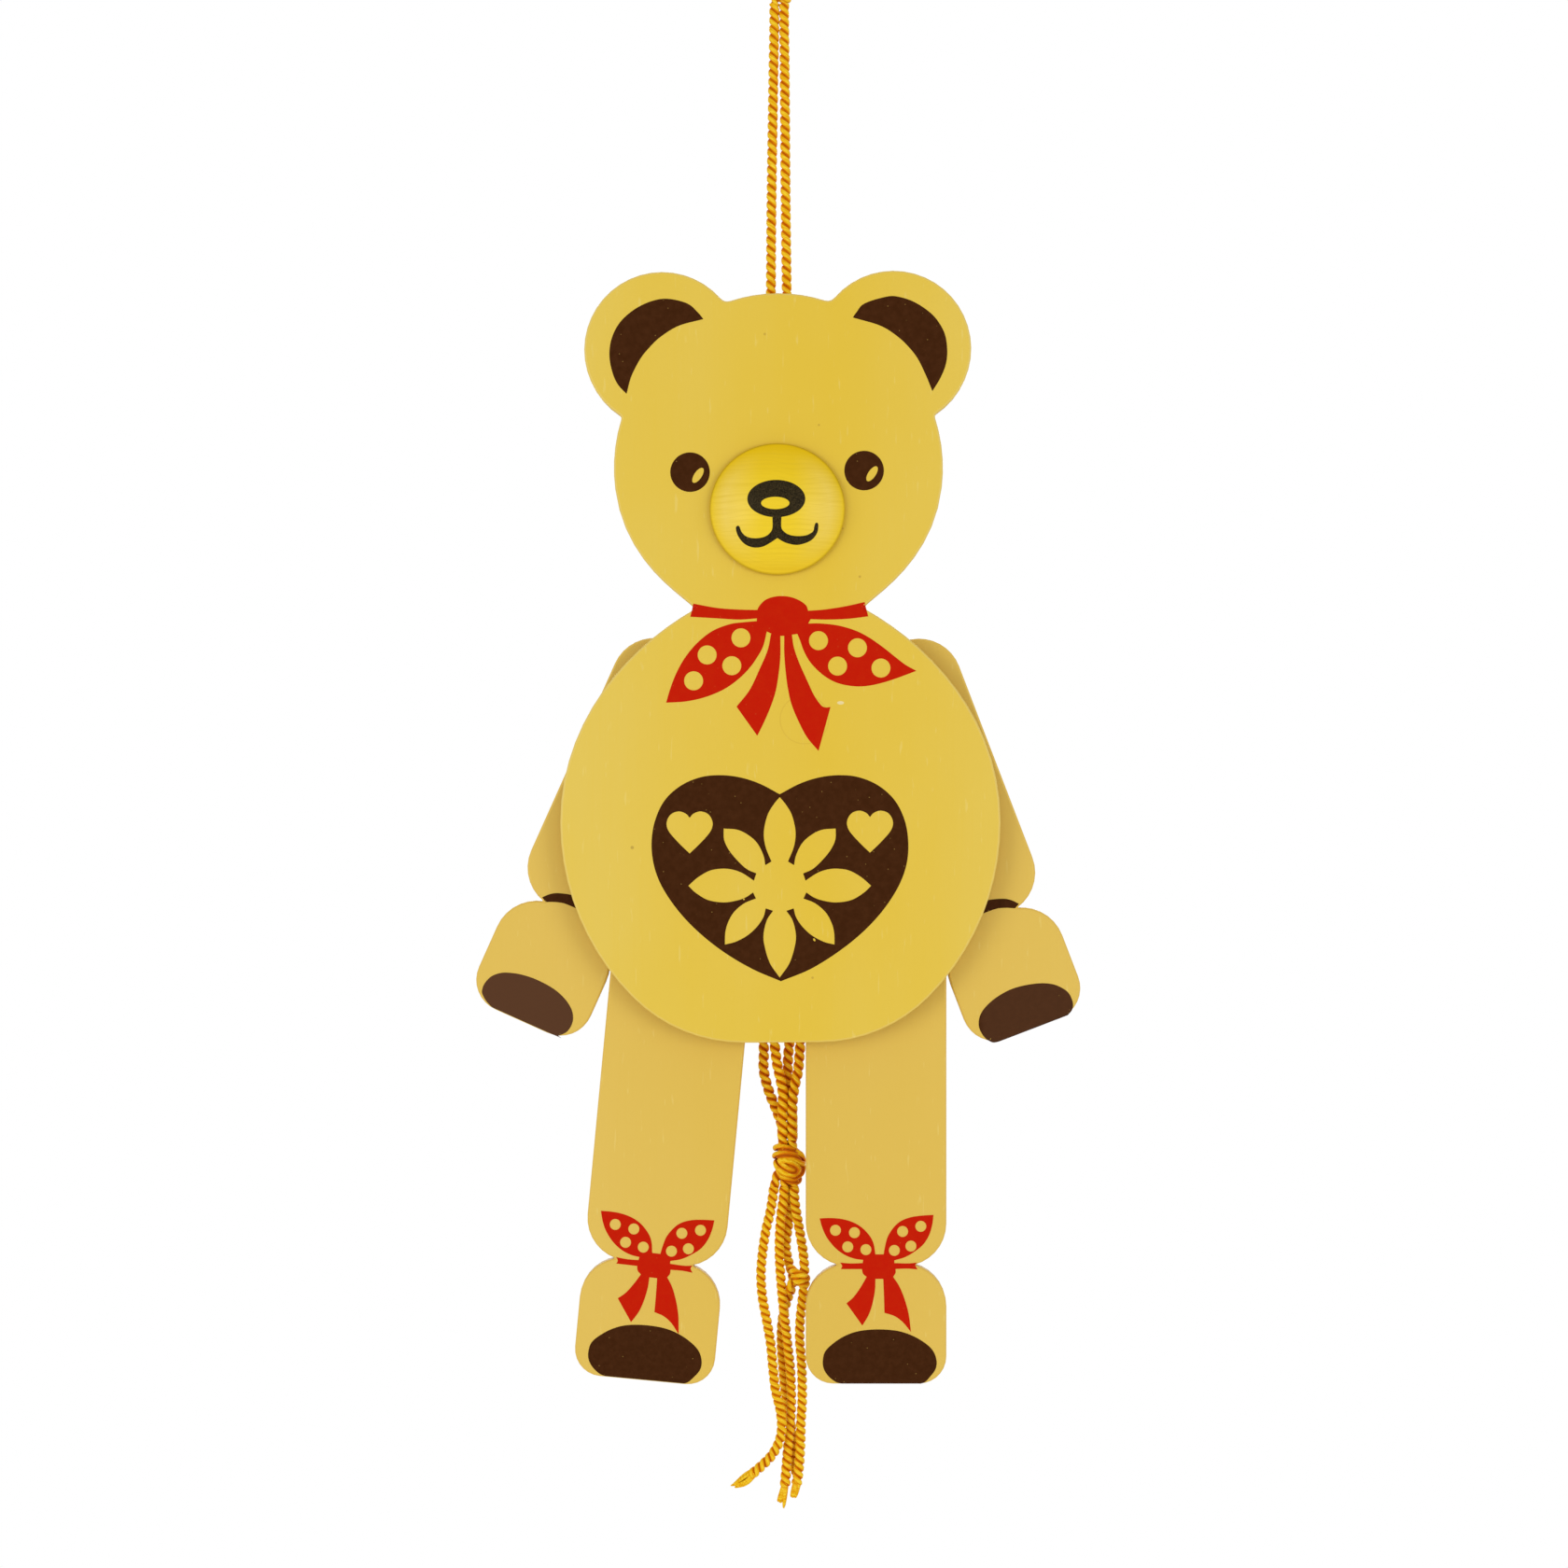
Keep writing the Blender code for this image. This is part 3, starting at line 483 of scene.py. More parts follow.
# %% Hang the two strands and the loop
STRAND_FOOT = -120.5
KNOT_LOW = -27.2
run = KNOT_LOW - STRAND_FOOT
STRAND_SHARES = (0.12, 0.45, 0.75, 0.95)
STRAND_PLACES = {"left": (-2.3, -2.2, -2.0, -1.6, -1.3), "right": (2.3, 2.0, 1.6, 1.4, 1.2)}
for side, across in STRAND_PLACES.items():
    route = [place(across[0], 0.3, STRAND_FOOT)]
    for x, share in zip(across[1:], STRAND_SHARES):
        route.append(place(x, 0, STRAND_FOOT + run * share))
    route.append(place(across[-1], 0, KNOT_LOW))
    free_cord(f"{side}_hanging_strand", route, "body")

LOOP_FOOT = -20.0
LOOP_HEIGHT = 18.95
half = [(1.25, 0), (1.5, 0.13), (3.4, 0.4), (5.2, 0.68), (4.0, 0.93)]
right = [place(x, 0, LOOP_FOOT + LOOP_HEIGHT * share) for x, share in half]
left = [Vector((-p.x, 0, p.z)) for p in reversed(right)]
free_cord("hanging_loop", [*right, place(0, 0, -CORD_D / 2), *left], "body")

# %% [markdown]
# Each limb cord starts under its limb's knot and leans in toward the middle, where the four run
# side by side into the pull knot. Their points are (x, depth, height over the belly's middle).
# They swell a little where the knot grips them, and their hollows get more painted shade than the
# tails'.


# %% Run the four limb cords
def back_points(*places):
    return [place(x, y, TORSO_Z + z) for x, y, z in places]


SWELL_REACH = 8.0
LIMB_CORD_SHADE = 0.16


def limb_girth(start, end):
    return GIRTH + 0.06 + 0.03 * math.exp(-end / SWELL_REACH)


LIMB_ROUTES = {
    "left_leg": (
        (-14.09, 6.65, -32.46), (-14.09, 6.65, -34.56), (-12.3, 6.7, -39.0), (-8.4, 7.2, -46.5),
        (-4.8, 8.0, -54.0), (-4.0, 8.6, -60.0), (-4.0, 9.1, -66.0), (-2.6, 9.1, -71.5),
        (-0.9, 9.1, -75.7), (0.5, 9.1, -79.5), (0.8, 9.1, -81.5), (0.9, 9.1, -83.4),
    ),
    "right_leg": (
        (14.72, 6.65, -32.01), (14.72, 6.65, -34.11), (13.0, 6.7, -39.0), (9.0, 6.7, -47.0),
        (5.8, 6.7, -55.0), (5.2, 6.7, -61.0), (4.8, 6.7, -65.5), (4.1, 6.7, -68.8),
        (3.6, 6.7, -71.5), (3.3, 6.7, -75.0), (3.3, 6.6, -79.0), (3.3, 6.6, -81.5),
        (3.3, 6.6, -83.4),
    ),
    "left_arm": (
        (-20.90, 6.65, 32.34), (-20.90, 6.65, 30.24), (-19.5, 6.7, 19.0), (-14.5, 6.7, 0.0),
        (-10.2, 6.7, -18.0), (-6.6, 6.7, -35.0), (-2.9, 6.7, -50.0), (-1.4, 6.7, -58.0),
        (-0.6, 6.7, -64.0), (0.4, 6.7, -68.5), (0.9, 6.7, -72.0), (0.8, 6.6, -77.0),
        (0.8, 6.6, -81.5), (0.8, 6.6, -83.4),
    ),
    "right_arm": (
        (24.66, 6.65, 32.69), (24.66, 6.65, 30.59), (21.5, 6.7, 19.0), (16.0, 6.7, 0.0),
        (11.0, 6.9, -18.0), (7.0, 7.7, -35.0), (4.2, 8.9, -48.0), (2.8, 9.1, -57.0),
        (2.2, 9.1, -63.0), (2.2, 9.1, -68.0), (2.8, 9.1, -73.0), (3.2, 9.1, -77.0),
        (3.3, 9.1, -81.5), (3.3, 9.1, -83.4),
    ),
}
for limb, route in LIMB_ROUTES.items():
    line = back_points(*route)
    free_cord(f"{limb}_cord", line, "pull", girth=limb_girth, shade=LIMB_CORD_SHADE)

# %% [markdown]
# The tails end cut and frayed. Over the last few millimetres the strands come loose and split
# into wisps. Hair could be grown there, but a few thin tubes show the same and export as meshes.
# A fray lists its bunches of wisps: how far a bunch leans to the right of a cord that hangs down,
# how much of the loose length it has, how wide its wisps stand, how many they are, and how
# pointed the bunch ends.

# %% Fray the end of a cord
dice = random.Random(7)
WISP_R = 0.4 * MM


class Fray:
    """The loose end of a cord: its last `loose` millimetres, with a swell like a brush.

    The wisps start LAP points up inside the laid cord, and its line runs on as many points.
    """

    LAP = 4

    def __init__(self, loose, swell, *bunches):
        self.cut = round(loose * MM / ROPE_STEP)
        self.swell = swell
        self.bunches = bunches

    def wisps(self, line):
        lines = []
        tapers = []
        past_end = [line[-1] + (line[-1] - line[-3]) * (k / 2) for k in range(1, self.LAP + 1)]
        tail = [*line[-self.cut - self.LAP :], *past_end]
        along = tangents_of(line)[-self.cut]
        side = along.cross(Vector((0, 1, 0))).normalized()
        for lean, reach, wide, count, point in self.bunches:
            for k in range(count):
                angle = 2 * math.pi * (k + dice.random() * 0.6) / count
                spot = side * math.cos(angle) + Vector((0, math.sin(angle), 0))
                spot *= wide * dice.uniform(0.7, 1.1) * MM
                long = tail[: round(len(tail) * reach * dice.uniform(0.95, 1.0))]
                wisp = []
                taper = []
                for i, p in enumerate(long):
                    t = i / (len(long) - 1)
                    room = (1 + self.swell * math.sin(math.pi * t)) * (1 - point * t * t)
                    wisp.append(p + spot * room + side * (lean * t * MM))
                    taper.append((1 - t**8) ** 0.5 * (1 - 0.6 * point * t) + 0.2)
                lines.append(wisp)
                tapers.append(taper)
        obj = tubes("wisps", lines, WISP_R, tapers, 1)
        crown = obj.data.attributes.new("crown", "FLOAT", "POINT")
        for i in range(len(obj.data.vertices)):
            crown.data[i].value = dice.choice((0.45, 0.65, 0.9))
        return obj


# %% [markdown]
# The tails hang free under the pull knot. Each has bends of its own, because the cord was wound
# up for long. Their routes are read from the photograph, and the small knot joins the third tail
# to the fourth. Two of them end in loose brushes and two are cut nearly clean.

# %% Hang the four tails
TAIL_ROUTES = (
    (
        (-1.4, 6.7, -95.4), (-1.7, 6.7, -98.0), (-2.4, 6.7, -102.2), (-3.4, 6.7, -106.3),
        (-4.3, 6.7, -112.2), (-4.7, 6.7, -118.0), (-4.3, 6.6, -123.8), (-3.2, 6.4, -129.7),
        (-2.2, 6.1, -135.6), (-1.7, 5.7, -141.0), (-1.0, 5.5, -147.0), (0.2, 5.5, -152.0),
        (0.6, 5.5, -156.5), (0.0, 5.5, -160.0), (-1.8, 5.6, -163.5), (-4.4, 5.8, -166.3),
        (-7.2, 6.0, -168.7), (-9.6, 6.1, -170.2), (-11.8, 6.2, -171.0),
    ),
    (
        (1.2, 6.7, -95.4), (1.1, 6.7, -98.0), (0.5, 6.7, -102.2), (0.1, 6.7, -107.0),
        (0.0, 6.7, -112.2), (0.3, 6.7, -118.0), (0.8, 6.7, -124.0), (1.4, 6.9, -129.5),
        (2.0, 7.1, -135.0), (2.7, 7.4, -141.0), (3.0, 7.6, -147.0), (3.0, 7.6, -152.2),
        (2.7, 7.6, -157.0), (2.2, 7.5, -162.0), (1.8, 7.3, -167.0), (1.4, 7.1, -172.0),
        (1.0, 7.0, -176.3),
    ),
    (
        (2.2, 9.1, -95.4), (2.5, 9.1, -99.3), (2.6, 9.1, -103.0), (2.0, 9.1, -107.5),
        (1.7, 9.1, -111.5), (2.5, 9.1, -115.5), (3.4, 9.1, -118.5), (3.0, 9.1, -121.8),
        (1.9, 9.2, -125.0), (0.8, 9.4, -129.5), (0.5, 9.6, -135.5), (0.9, 9.9, -142.0),
        (1.4, 10.0, -147.5), (2.3, 10.0, -153.5), (3.3, 10.0, -159.3), (3.6, 9.8, -164.0),
        (3.7, 9.6, -168.6),
    ),
    (
        (3.8, 6.7, -95.4), (3.9, 6.7, -99.0), (4.6, 6.7, -103.5), (5.4, 6.7, -108.0),
        (6.1, 6.7, -112.5), (6.4, 6.7, -117.0), (6.2, 6.7, -121.0), (5.8, 6.7, -124.8),
        (5.3, 6.7, -129.5), (5.2, 6.7, -134.7), (5.6, 6.8, -139.5), (5.8, 7.0, -145.0),
        (5.8, 7.1, -150.5), (5.5, 7.1, -155.5), (5.4, 7.1, -160.5), (5.1, 7.0, -165.7),
        (4.6, 6.9, -170.0), (3.9, 6.8, -173.6),
    ),
)
FRAYS = (
    Fray(5.2, 0.8, (0.4, 0.97, 0.75, 8, 0.95), (1.2, 0.9, 0.7, 6, 0.9)),
    Fray(4.4, 0.0, (-1.1, 0.82, 0.38, 6, 0.0), (0.2, 1.0, 0.4, 5, 0.7)),
    Fray(2.0, 0.0, (0.0, 1.0, 0.6, 7, 0.1)),
    Fray(2.4, 0.0, (-0.2, 1.0, 0.7, 8, 0.1)),
)
SLACK_GIRTH = 1.2


def tail_girth(start, end):
    """Swollen a little under the knot, and more toward the frayed end."""
    return SLACK_GIRTH + 0.04 * math.exp(-start / SWELL_REACH) + 0.1 * math.exp(-end / SWELL_REACH)


for i, (route, fray) in enumerate(zip(TAIL_ROUTES, FRAYS)):
    free_cord(f"tail_{i + 1}", back_points(*route), "pull", fray, tail_girth)

# %% [markdown]
# ## The knots
# A small knot is an overhand knot pulled tight. It could be drawn point by point, but a pulled
# overhand knot is the shape of a trefoil, and one formula gives that. The line is squeezed to the
# size of its CAD solid. Each limb's knot has a short stub of cord through the hole of its limb.


# %% Tie the small knots
TREFOIL_STEPS = 120


def trefoil(size, thickness):
    """The line of an overhand knot that fills a cube of that size with cord round it."""
    room = (size - CORD_D * thickness) / 2
    line = []
    for i in range(TREFOIL_STEPS + 1):
        t = 2 * math.pi * i / TREFOIL_STEPS
        x = (math.sin(t) + 2 * math.sin(2 * t)) / 3
        z = (math.cos(t) - 2 * math.cos(2 * t)) / 3
        line.append(place(x * room, -math.sin(3 * t) * room, z * room))
    return evenly(line, ROPE_STEP)


def knot_of(name, centre, lines, body, node, thickness, one_turn=TAUT_TURN, shade=0.0):
    """One piece from the lines of a knot, placed at its centre."""
    moved = [[p + place(*centre) for p in line] for line in lines]
    return own(swept(name, moved, thickness, one_turn, shade), body, gold_cord, node)


SMALL = 0.72
STOPPER_SIZE = 4.0
LIMB_KNOT_SIZE = 4.4
for side, sign in SIDES.items():
    centre = (sign * 2.3, 0.95, -122.8)
    name = f"{side}_strand_knot"
    knot_of(name + "_tied", centre, [trefoil(STOPPER_SIZE, SMALL)], "body", name, SMALL)
LIMB_KNOTS = {
    "left_arm": (-22.36, 35.19),
    "right_arm": (26.12, 35.54),
    "left_leg": (-15.22, -29.61),
    "right_leg": (15.85, -29.16),
}
for limb, (x, z) in LIMB_KNOTS.items():
    centre = (x, PULL_Y, TORSO_Z + z)
    tied = [trefoil(LIMB_KNOT_SIZE, SMALL)]
    knot_of(f"{limb}_knot_tied", centre, tied, limb, f"{limb}_knot", SMALL)
    hole = [place(x, y, TORSO_Z + z) for y in (LIMB_FRONT + 0.3, LIMB_BACK, PULL_Y)]
    own(swept(f"{limb}_knot_stub", [smooth_line(hole, ROPE_STEP)]), limb, gold_cord)

# %% [markdown]
# The pull knot is tied with four cords at once. A rope simulation would be slow and hard to
# steer, so it is drawn: turns of cord are slung round a bundle, and the cords above and below run
# on into it. Pulled tight, the strands of the turns lie almost side by side. The points are given
# in millimetres from the knot's centre, front side first.


# %% Tie the pull knot
def through(*points):
    return smooth_line([place(*point) for point in points], ROPE_STEP)


def turn(*points):
    """A closed turn of cord through the points.

    The route runs on past both of its ends, and the line is cut where it passes the first point.
    """
    line = smooth_line([place(*p) for p in (*points[-2:], *points, *points[:3])], ROPE_STEP)
    gaps = [(point - place(*points[0])).length for point in line]
    half = len(line) // 2
    first = gaps.index(min(gaps[:half]))
    last = half + gaps[half:].index(min(gaps[half:]))
    return [*line[first:last], line[first].copy()]


TIGHT = 0.96
FLAT_TURN = 17.0
pull_turns = [
    turn((-3.1, 0.2, 3.9), (-2.2, -1.5, 4.2), (-0.3, -2.1, 3.8), (1.4, -1.6, 3.0), (2.0, 0.2, 2.8),
         (1.0, 1.8, 3.1), (-1.0, 2.0, 3.6), (-2.7, 1.4, 3.9)),
    turn((-3.3, 0.3, 1.8), (-2.6, -1.5, 2.3), (-0.8, -2.4, 2.3), (1.3, -2.4, 1.7), (2.7, -1.6, 0.6),
         (3.3, 0.2, 0.0), (2.2, 2.0, 0.6), (-0.6, 2.3, 1.4), (-2.6, 1.7, 1.8)),
    turn((-2.2, -1.8, 0.7), (-1.0, -2.6, 0.9), (0.8, -2.8, 0.2), (2.1, -2.5, -1.1),
         (1.6, -2.5, -2.0), (0.2, -2.8, -1.7), (-1.3, -2.6, -0.6)),
    turn((-3.0, -0.6, 0.2), (-2.3, -1.9, -1.3), (-0.7, -2.5, -2.5), (1.2, -2.4, -3.1),
         (2.8, -1.6, -2.5), (3.3, -0.2, -1.4), (3.0, 1.6, -0.2), (1.0, 2.3, 0.5), (-1.6, 1.8, 0.6)),
    turn((-2.3, -0.3, -2.4), (-1.5, -1.5, -3.3), (0.2, -2.0, -4.1), (1.6, -1.6, -4.5),
         (2.4, -0.2, -4.2), (2.0, 1.4, -3.4), (0.2, 1.8, -2.6), (-1.7, 1.2, -2.1)),
    turn((1.4, -0.8, 3.2), (2.7, -0.5, 2.3), (3.3, 0.6, 1.0), (3.2, 1.5, -0.6), (2.0, 2.3, -1.4),
         (0.6, 2.3, 0.6), (0.6, 1.3, 2.4)),
]
pull_runs = [
    through((-1.6, -1.3, 6.2), (-1.4, -1.2, 3.5), (-1.7, -1.0, 0), (-3.0, -1.2, -3.0),
            (-3.8, -1.25, -6.3)),
    through((0.9, -1.3, 6.2), (0.8, -0.8, 3.0), (0.2, -0.6, 0), (-0.9, -1.1, -3.5),
            (-1.2, -1.25, -6.3)),
    through((-1.5, 1.15, 6.2), (-1.0, 0.9, 3.0), (-0.5, 0.9, 0), (-0.3, 1.0, -3.5),
            (-0.2, 1.15, -6.3)),
    through((0.9, 1.15, 6.2), (1.0, 0.8, 3.0), (1.2, 0.5, 0), (1.4, -0.9, -3.5),
            (1.4, -1.25, -6.3)),
]
PULL_KNOT = (2.4, 7.95, -321.5)
KNOT_SHADE = 0.22
RUN_GIRTH = 1.14
knot_of("pull_knot_tied", PULL_KNOT, pull_turns, "pull", "pull_knot", TIGHT, FLAT_TURN, KNOT_SHADE)
knot_of("pull_knot_run", PULL_KNOT, pull_runs, "pull", None, RUN_GIRTH, TAUT_TURN, KNOT_SHADE)

# %% [markdown]
# The hanging knot joins the two strands under the loop. It is made in the same way, with three
# turns slung round the pair of strands, which cross inside it.

# %% Tie the hanging knot
hang_turns = [
    turn((-2.1, 0.0, 2.2), (-1.4, -1.7, 2.3), (0.4, -2.2, 1.8), (1.9, -1.2, 1.2), (2.2, 0.3, 1.0),
         (1.2, 1.9, 1.3), (-0.6, 2.1, 1.8)),
    turn((-2.3, 0.2, 0.8), (-1.5, -1.8, 0.8), (0.3, -2.3, 0.2), (1.8, -1.4, -0.6), (2.2, 0.2, -0.8),
         (1.3, 1.8, -0.4), (-0.6, 2.2, 0.2)),
    turn((-2.2, 0.0, -0.9), (-1.4, -1.7, -1.0), (0.3, -2.1, -1.6), (1.7, -1.3, -2.2),
         (2.0, 0.2, -2.4), (1.1, 1.8, -2.0), (-0.6, 2.0, -1.3)),
]
hang_runs = [
    through((-1.25, 0, 3.9), (-1.2, 0.3, 1.5), (0.6, 0.6, -1.0), (1.2, 0, -3.9)),
    through((1.25, 0, 3.9), (1.2, -0.3, 1.5), (-0.6, -0.6, -1.0), (-1.3, 0, -3.9)),
]
HANGING_KNOT = (0, 0, -23.6)
knot_of("hanging_knot_tied", HANGING_KNOT, hang_turns, "body", "hanging_knot", TIGHT, FLAT_TURN)
knot_of("hanging_knot_run", HANGING_KNOT, hang_runs, "body", None, 1.0)

# %% [markdown]
# The small knot on the tails is a hitch: the third tail comes from the left, goes twice round
# the fourth one and leaves to the lower left. It is one open line, drawn from the hitch's centre.
# After it the section of the cord has done its work and is removed.

# %% Tie the hitch
hitch = through(
    (-2.6, 3.4, 2.6), (-1.5, 1.4, 1.8), (-0.4, 0.3, 1.2), (0.9, 0.0, 0.4), (1.6, 1.0, 0.0),
    (1.1, 2.6, 0.1), (-0.5, 2.6, 0.3), (-1.5, 1.2, 0.3), (-0.7, 0.0, -0.4), (0.7, -0.1, -1.0),
    (1.5, 0.8, -1.4), (0.9, 2.6, -1.4), (-0.8, 2.6, -1.2), (-2.1, 1.7, -1.2), (-2.8, 1.5, -2.4),
    (-2.6, 2.4, -3.6),
)
TAIL_KNOT = (5.3, 4.6, -350.6)
knot_of("tail_knot_tied", TAIL_KNOT, [hitch], "pull", "tail_knot", TIGHT)
bpy.data.objects.remove(section)

# %% [markdown]
# ## The painted plates
# The body, arms and legs are sawn from thin plywood, sanded and painted. Their CAD solids have
# the right outlines and holes, so nothing is drawn again: each is copied, cleaned of its
# triangles and given the small rounded edge that sandpaper leaves, which catches the light.


# %% Clean and round a plate
MERGE = 0.002 * MM


def merge_doubles():
    bpy.ops.mesh.select_all(action="SELECT")
    bpy.ops.mesh.remove_doubles(threshold=MERGE)


def copy_of(node):
    """A free copy of a CAD part, with its triangles merged back into whole faces."""
    pick(NODES[node])
    bpy.ops.object.duplicate()
    obj = bpy.context.object
    bpy.ops.object.parent_clear(type="CLEAR_KEEP_TRANSFORM")
    for key in [key for key in obj.keys() if key.startswith("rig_")]:
        del obj[key]
    obj.data.materials.clear()
    bpy.ops.object.mode_set(mode="EDIT")
    merge_doubles()
    bpy.ops.mesh.dissolve_limited(angle_limit=math.radians(0.5))
    bpy.ops.object.mode_set(mode="OBJECT")
    return obj


def soften(obj, width, segments=3, from_angle=30):
    """Rounds every edge that is sharper than from_angle."""
    pick(obj)
    bpy.ops.object.modifier_add(type="BEVEL")
    bevel = obj.modifiers[-1]
    bevel.width = width * MM
    bevel.segments = segments
    bevel.limit_method = "ANGLE"
    bevel.angle_limit = math.radians(from_angle)
    bevel.harden_normals = False
    bpy.ops.object.modifier_apply(modifier=bevel.name)
    bpy.ops.object.shade_smooth_by_angle(angle=math.radians(40))
    bpy.ops.object.modifier_add(type="WEIGHTED_NORMAL")
    weighted = obj.modifiers[-1]
    weighted.keep_sharp = True
    bpy.ops.object.modifier_apply(modifier=weighted.name)


# %% [markdown]
# The paint is a satin ochre yellow, laid on in one direction, so it has faint upright streaks, and
# a few specks of dust lie under it. A plain colour would look like plastic, so noise stretched
# upright makes the streaks, and a cell pattern the specks. Toward the left and right the paint is
# made paler as a painted sheen of the side lamps. On the sides of the plates the veneers show
# through as thin bands, and the sides are darker, partly as bare wood under thin paint and partly
# as painted shade. The rounded edges get a thin painted highlight.


# %% Mix the paint
EDGE_ROUND = 0.42
SHEEN_MIDDLE_X = 6
VENEER = 0.667


def plate_paint(name, base, side_sheen, edge_highlight_tone, front, back):
    """Paint on a plate that lies between the depths front and back, and its colour."""
    paint = Finish(name, 0.42, Specular_IOR_Level=0.3)
    grain = paint.noise(paint.place((1.4, 1.4, 0.035)), 1.0, 4.0, 0.6)
    broad = paint.noise(paint.place((0.035, 0.035, 0.016)), 1.0, 2.0)
    fleck = paint.noise(paint.place((0.9, 0.9, 0.12), (31, 0, 7)), 1.0, 2.0, 0.7)
    x, y, z = paint.axes()
    # Painted sheen of the side lamps: the paint is paler away from the middle, and the broad noise
    # varies it at random.
    sides = (x - SHEEN_MIDDLE_X).size().clamped(6, 62)
    tone = paint.mix(sides * 0.7 + broad.clamped(0.35, 0.65) * 0.3, base, side_sheen)
    tone = paint.mix(grain.clamped(0.5, 0.78) * 0.2, tone, base)
    tone = paint.mix(fleck.clamped(0.66, 0.72) * 0.3, tone, colour(240, 218, 130))
    dust = paint.node("TexVoronoi", {}, {"Vector": paint.place((0.085, 0.085, 0.085)), "Scale": 1.0})
    specks = 1 - dust.clamped(0.02, 0.035)
    tone = paint.mix(specks * 0.5, tone, colour(176, 132, 46))
    # Painted highlight along the rounded front edge.
    edge_glint_share = (y - front).clamped(0.0, 0.04) * (1 - (y - front).clamped(0.2, 0.5))
    tone = paint.mix(edge_glint_share * 0.3, tone, edge_highlight_tone)
    # The sides are darkened, partly as painted shade and partly as bare veneer under thin paint,
    # with the veneer bands in it.
    veneer = ((y - front) * (math.pi / VENEER)).wave()
    inside = (y - front).clamped(0.5, 0.6) * (1 - (y - back).clamped(-0.6, -0.5))
    tone = paint.mix(inside * (0.4 + veneer.clamped(0.1, 0.5) * 0.3), tone, colour(168, 130, 78))
    paint.set("Roughness", 0.4 + grain * 0.12 + specks * 0.2)
    paint.bump(grain * 0.7 + specks * 0.6 + broad * 0.3, 0.25, 0.05)
    return paint, tone


body_tones = (colour(230, 194, 54), colour(231, 200, 86), colour(240, 214, 140))
body_paint, tone = plate_paint("plate_paint", *body_tones, PLATE_FRONT, PLATE_BACK)

# %% [markdown]
# Use has left a few marks on the front: a chip with bare wood in it, a dark speck, and a faint
# round scratch over the heart. They could be painted on a picture, but a mask made from the
# distance to a mark's centre stays sharp at any size. The limbs wear the same paint, a little
# duller and with no marks.


# %% Mark the front
def distance_from(finish, centre, stretched=(1, 1, 1)):
    """The distance in millimetres from a point (x, z), on the front alone."""
    x, z = centre
    moved = finish.place(stretched, [-c * s for c, s in zip((x, PLATE_FRONT, z), stretched)])
    return finish.node("VectorMath", {"operation": "LENGTH"}, {0: moved}, output="Value")


CHIP = (15.4, TORSO_Z + 27.8)
SPECK = (-37.0, TORSO_Z - 8.6)
SCRATCH = (6.3, TORSO_Z + 23.6)
SCRATCH_R = 6.1
chip = 1 - distance_from(body_paint, CHIP, (0.9, 1, 1.8)).clamped(0.7, 0.85)
tone = body_paint.mix(chip * 0.8, tone, colour(240, 222, 170))
speck = 1 - distance_from(body_paint, SPECK).clamped(0.35, 0.5)
tone = body_paint.mix(speck * 0.45, tone, colour(140, 104, 40))
scratch = 1 - (distance_from(body_paint, SCRATCH) - SCRATCH_R).size().clamped(0.05, 0.22)
tone = body_paint.mix(scratch * 0.25, tone, colour(196, 150, 44))
body_paint.set("Base Color", tone)
limb_tones = (colour(225, 187, 74), colour(228, 192, 88), colour(234, 190, 80))
limb_paint, tone = plate_paint("limb_paint", *limb_tones, LIMB_FRONT, LIMB_BACK)
limb_paint.set("Base Color", tone)

# %% [markdown]
# Now the five plates are copied, rounded and painted. The painted copy of a limb rides on that
# limb's body, so it turns with it, and the CAD plate stays hidden inside it for collisions.

# %% Finish the five plates
plate = copy_of("body_plate")
plate.name = "body_plate_painted"
soften(plate, EDGE_ROUND)
own(plate, "body", body_paint, "body_plate")
planks = {}
for limb in PIVOTS:
    plank = copy_of(limb)
    plank.name = f"{limb}_painted"
    soften(plank, EDGE_ROUND)
    planks[limb] = own(plank, limb, limb_paint, limb)

# %% [markdown]
# ## The turned pieces
# The muzzle is a button turned on a lathe, and the caps are pressed from round blanks. A cylinder
# could be bevelled into either, but a lathe cuts one profile all round, so each piece is a profile
# line spun about its axis. That gives the shape of every edge by plain numbers.


# %% Spin a profile
def turned(name, profile, centre, sides):
    """A closed solid from a profile of (radius, depth), spun about Y through the centre."""
    obj = new_curve(name)
    add_line(obj, [place(centre[0] + radius, depth, centre[1]) for radius, depth in profile])
    pick(obj)
    bpy.ops.object.convert(target="MESH")
    bpy.ops.object.mode_set(mode="EDIT")
    bpy.ops.mesh.select_all(action="SELECT")
    bpy.ops.mesh.spin(
        steps=sides, angle=2 * math.pi, center=place(centre[0], 0, centre[1]), axis=(0, 1, 0)
    )
    merge_doubles()
    bpy.ops.mesh.normals_make_consistent(inside=False)
    bpy.ops.object.mode_set(mode="OBJECT")
    bpy.ops.object.shade_smooth_by_angle(angle=math.radians(35))
    return bpy.context.object


# %% [markdown]
# The front of the muzzle is a shallow dome. Its radius and its rise are known, and they give the
# radius of the ball it is cut from. Wood shrinks across its grain, which runs from side to side,
# so the disc ends up a little lower than wide.

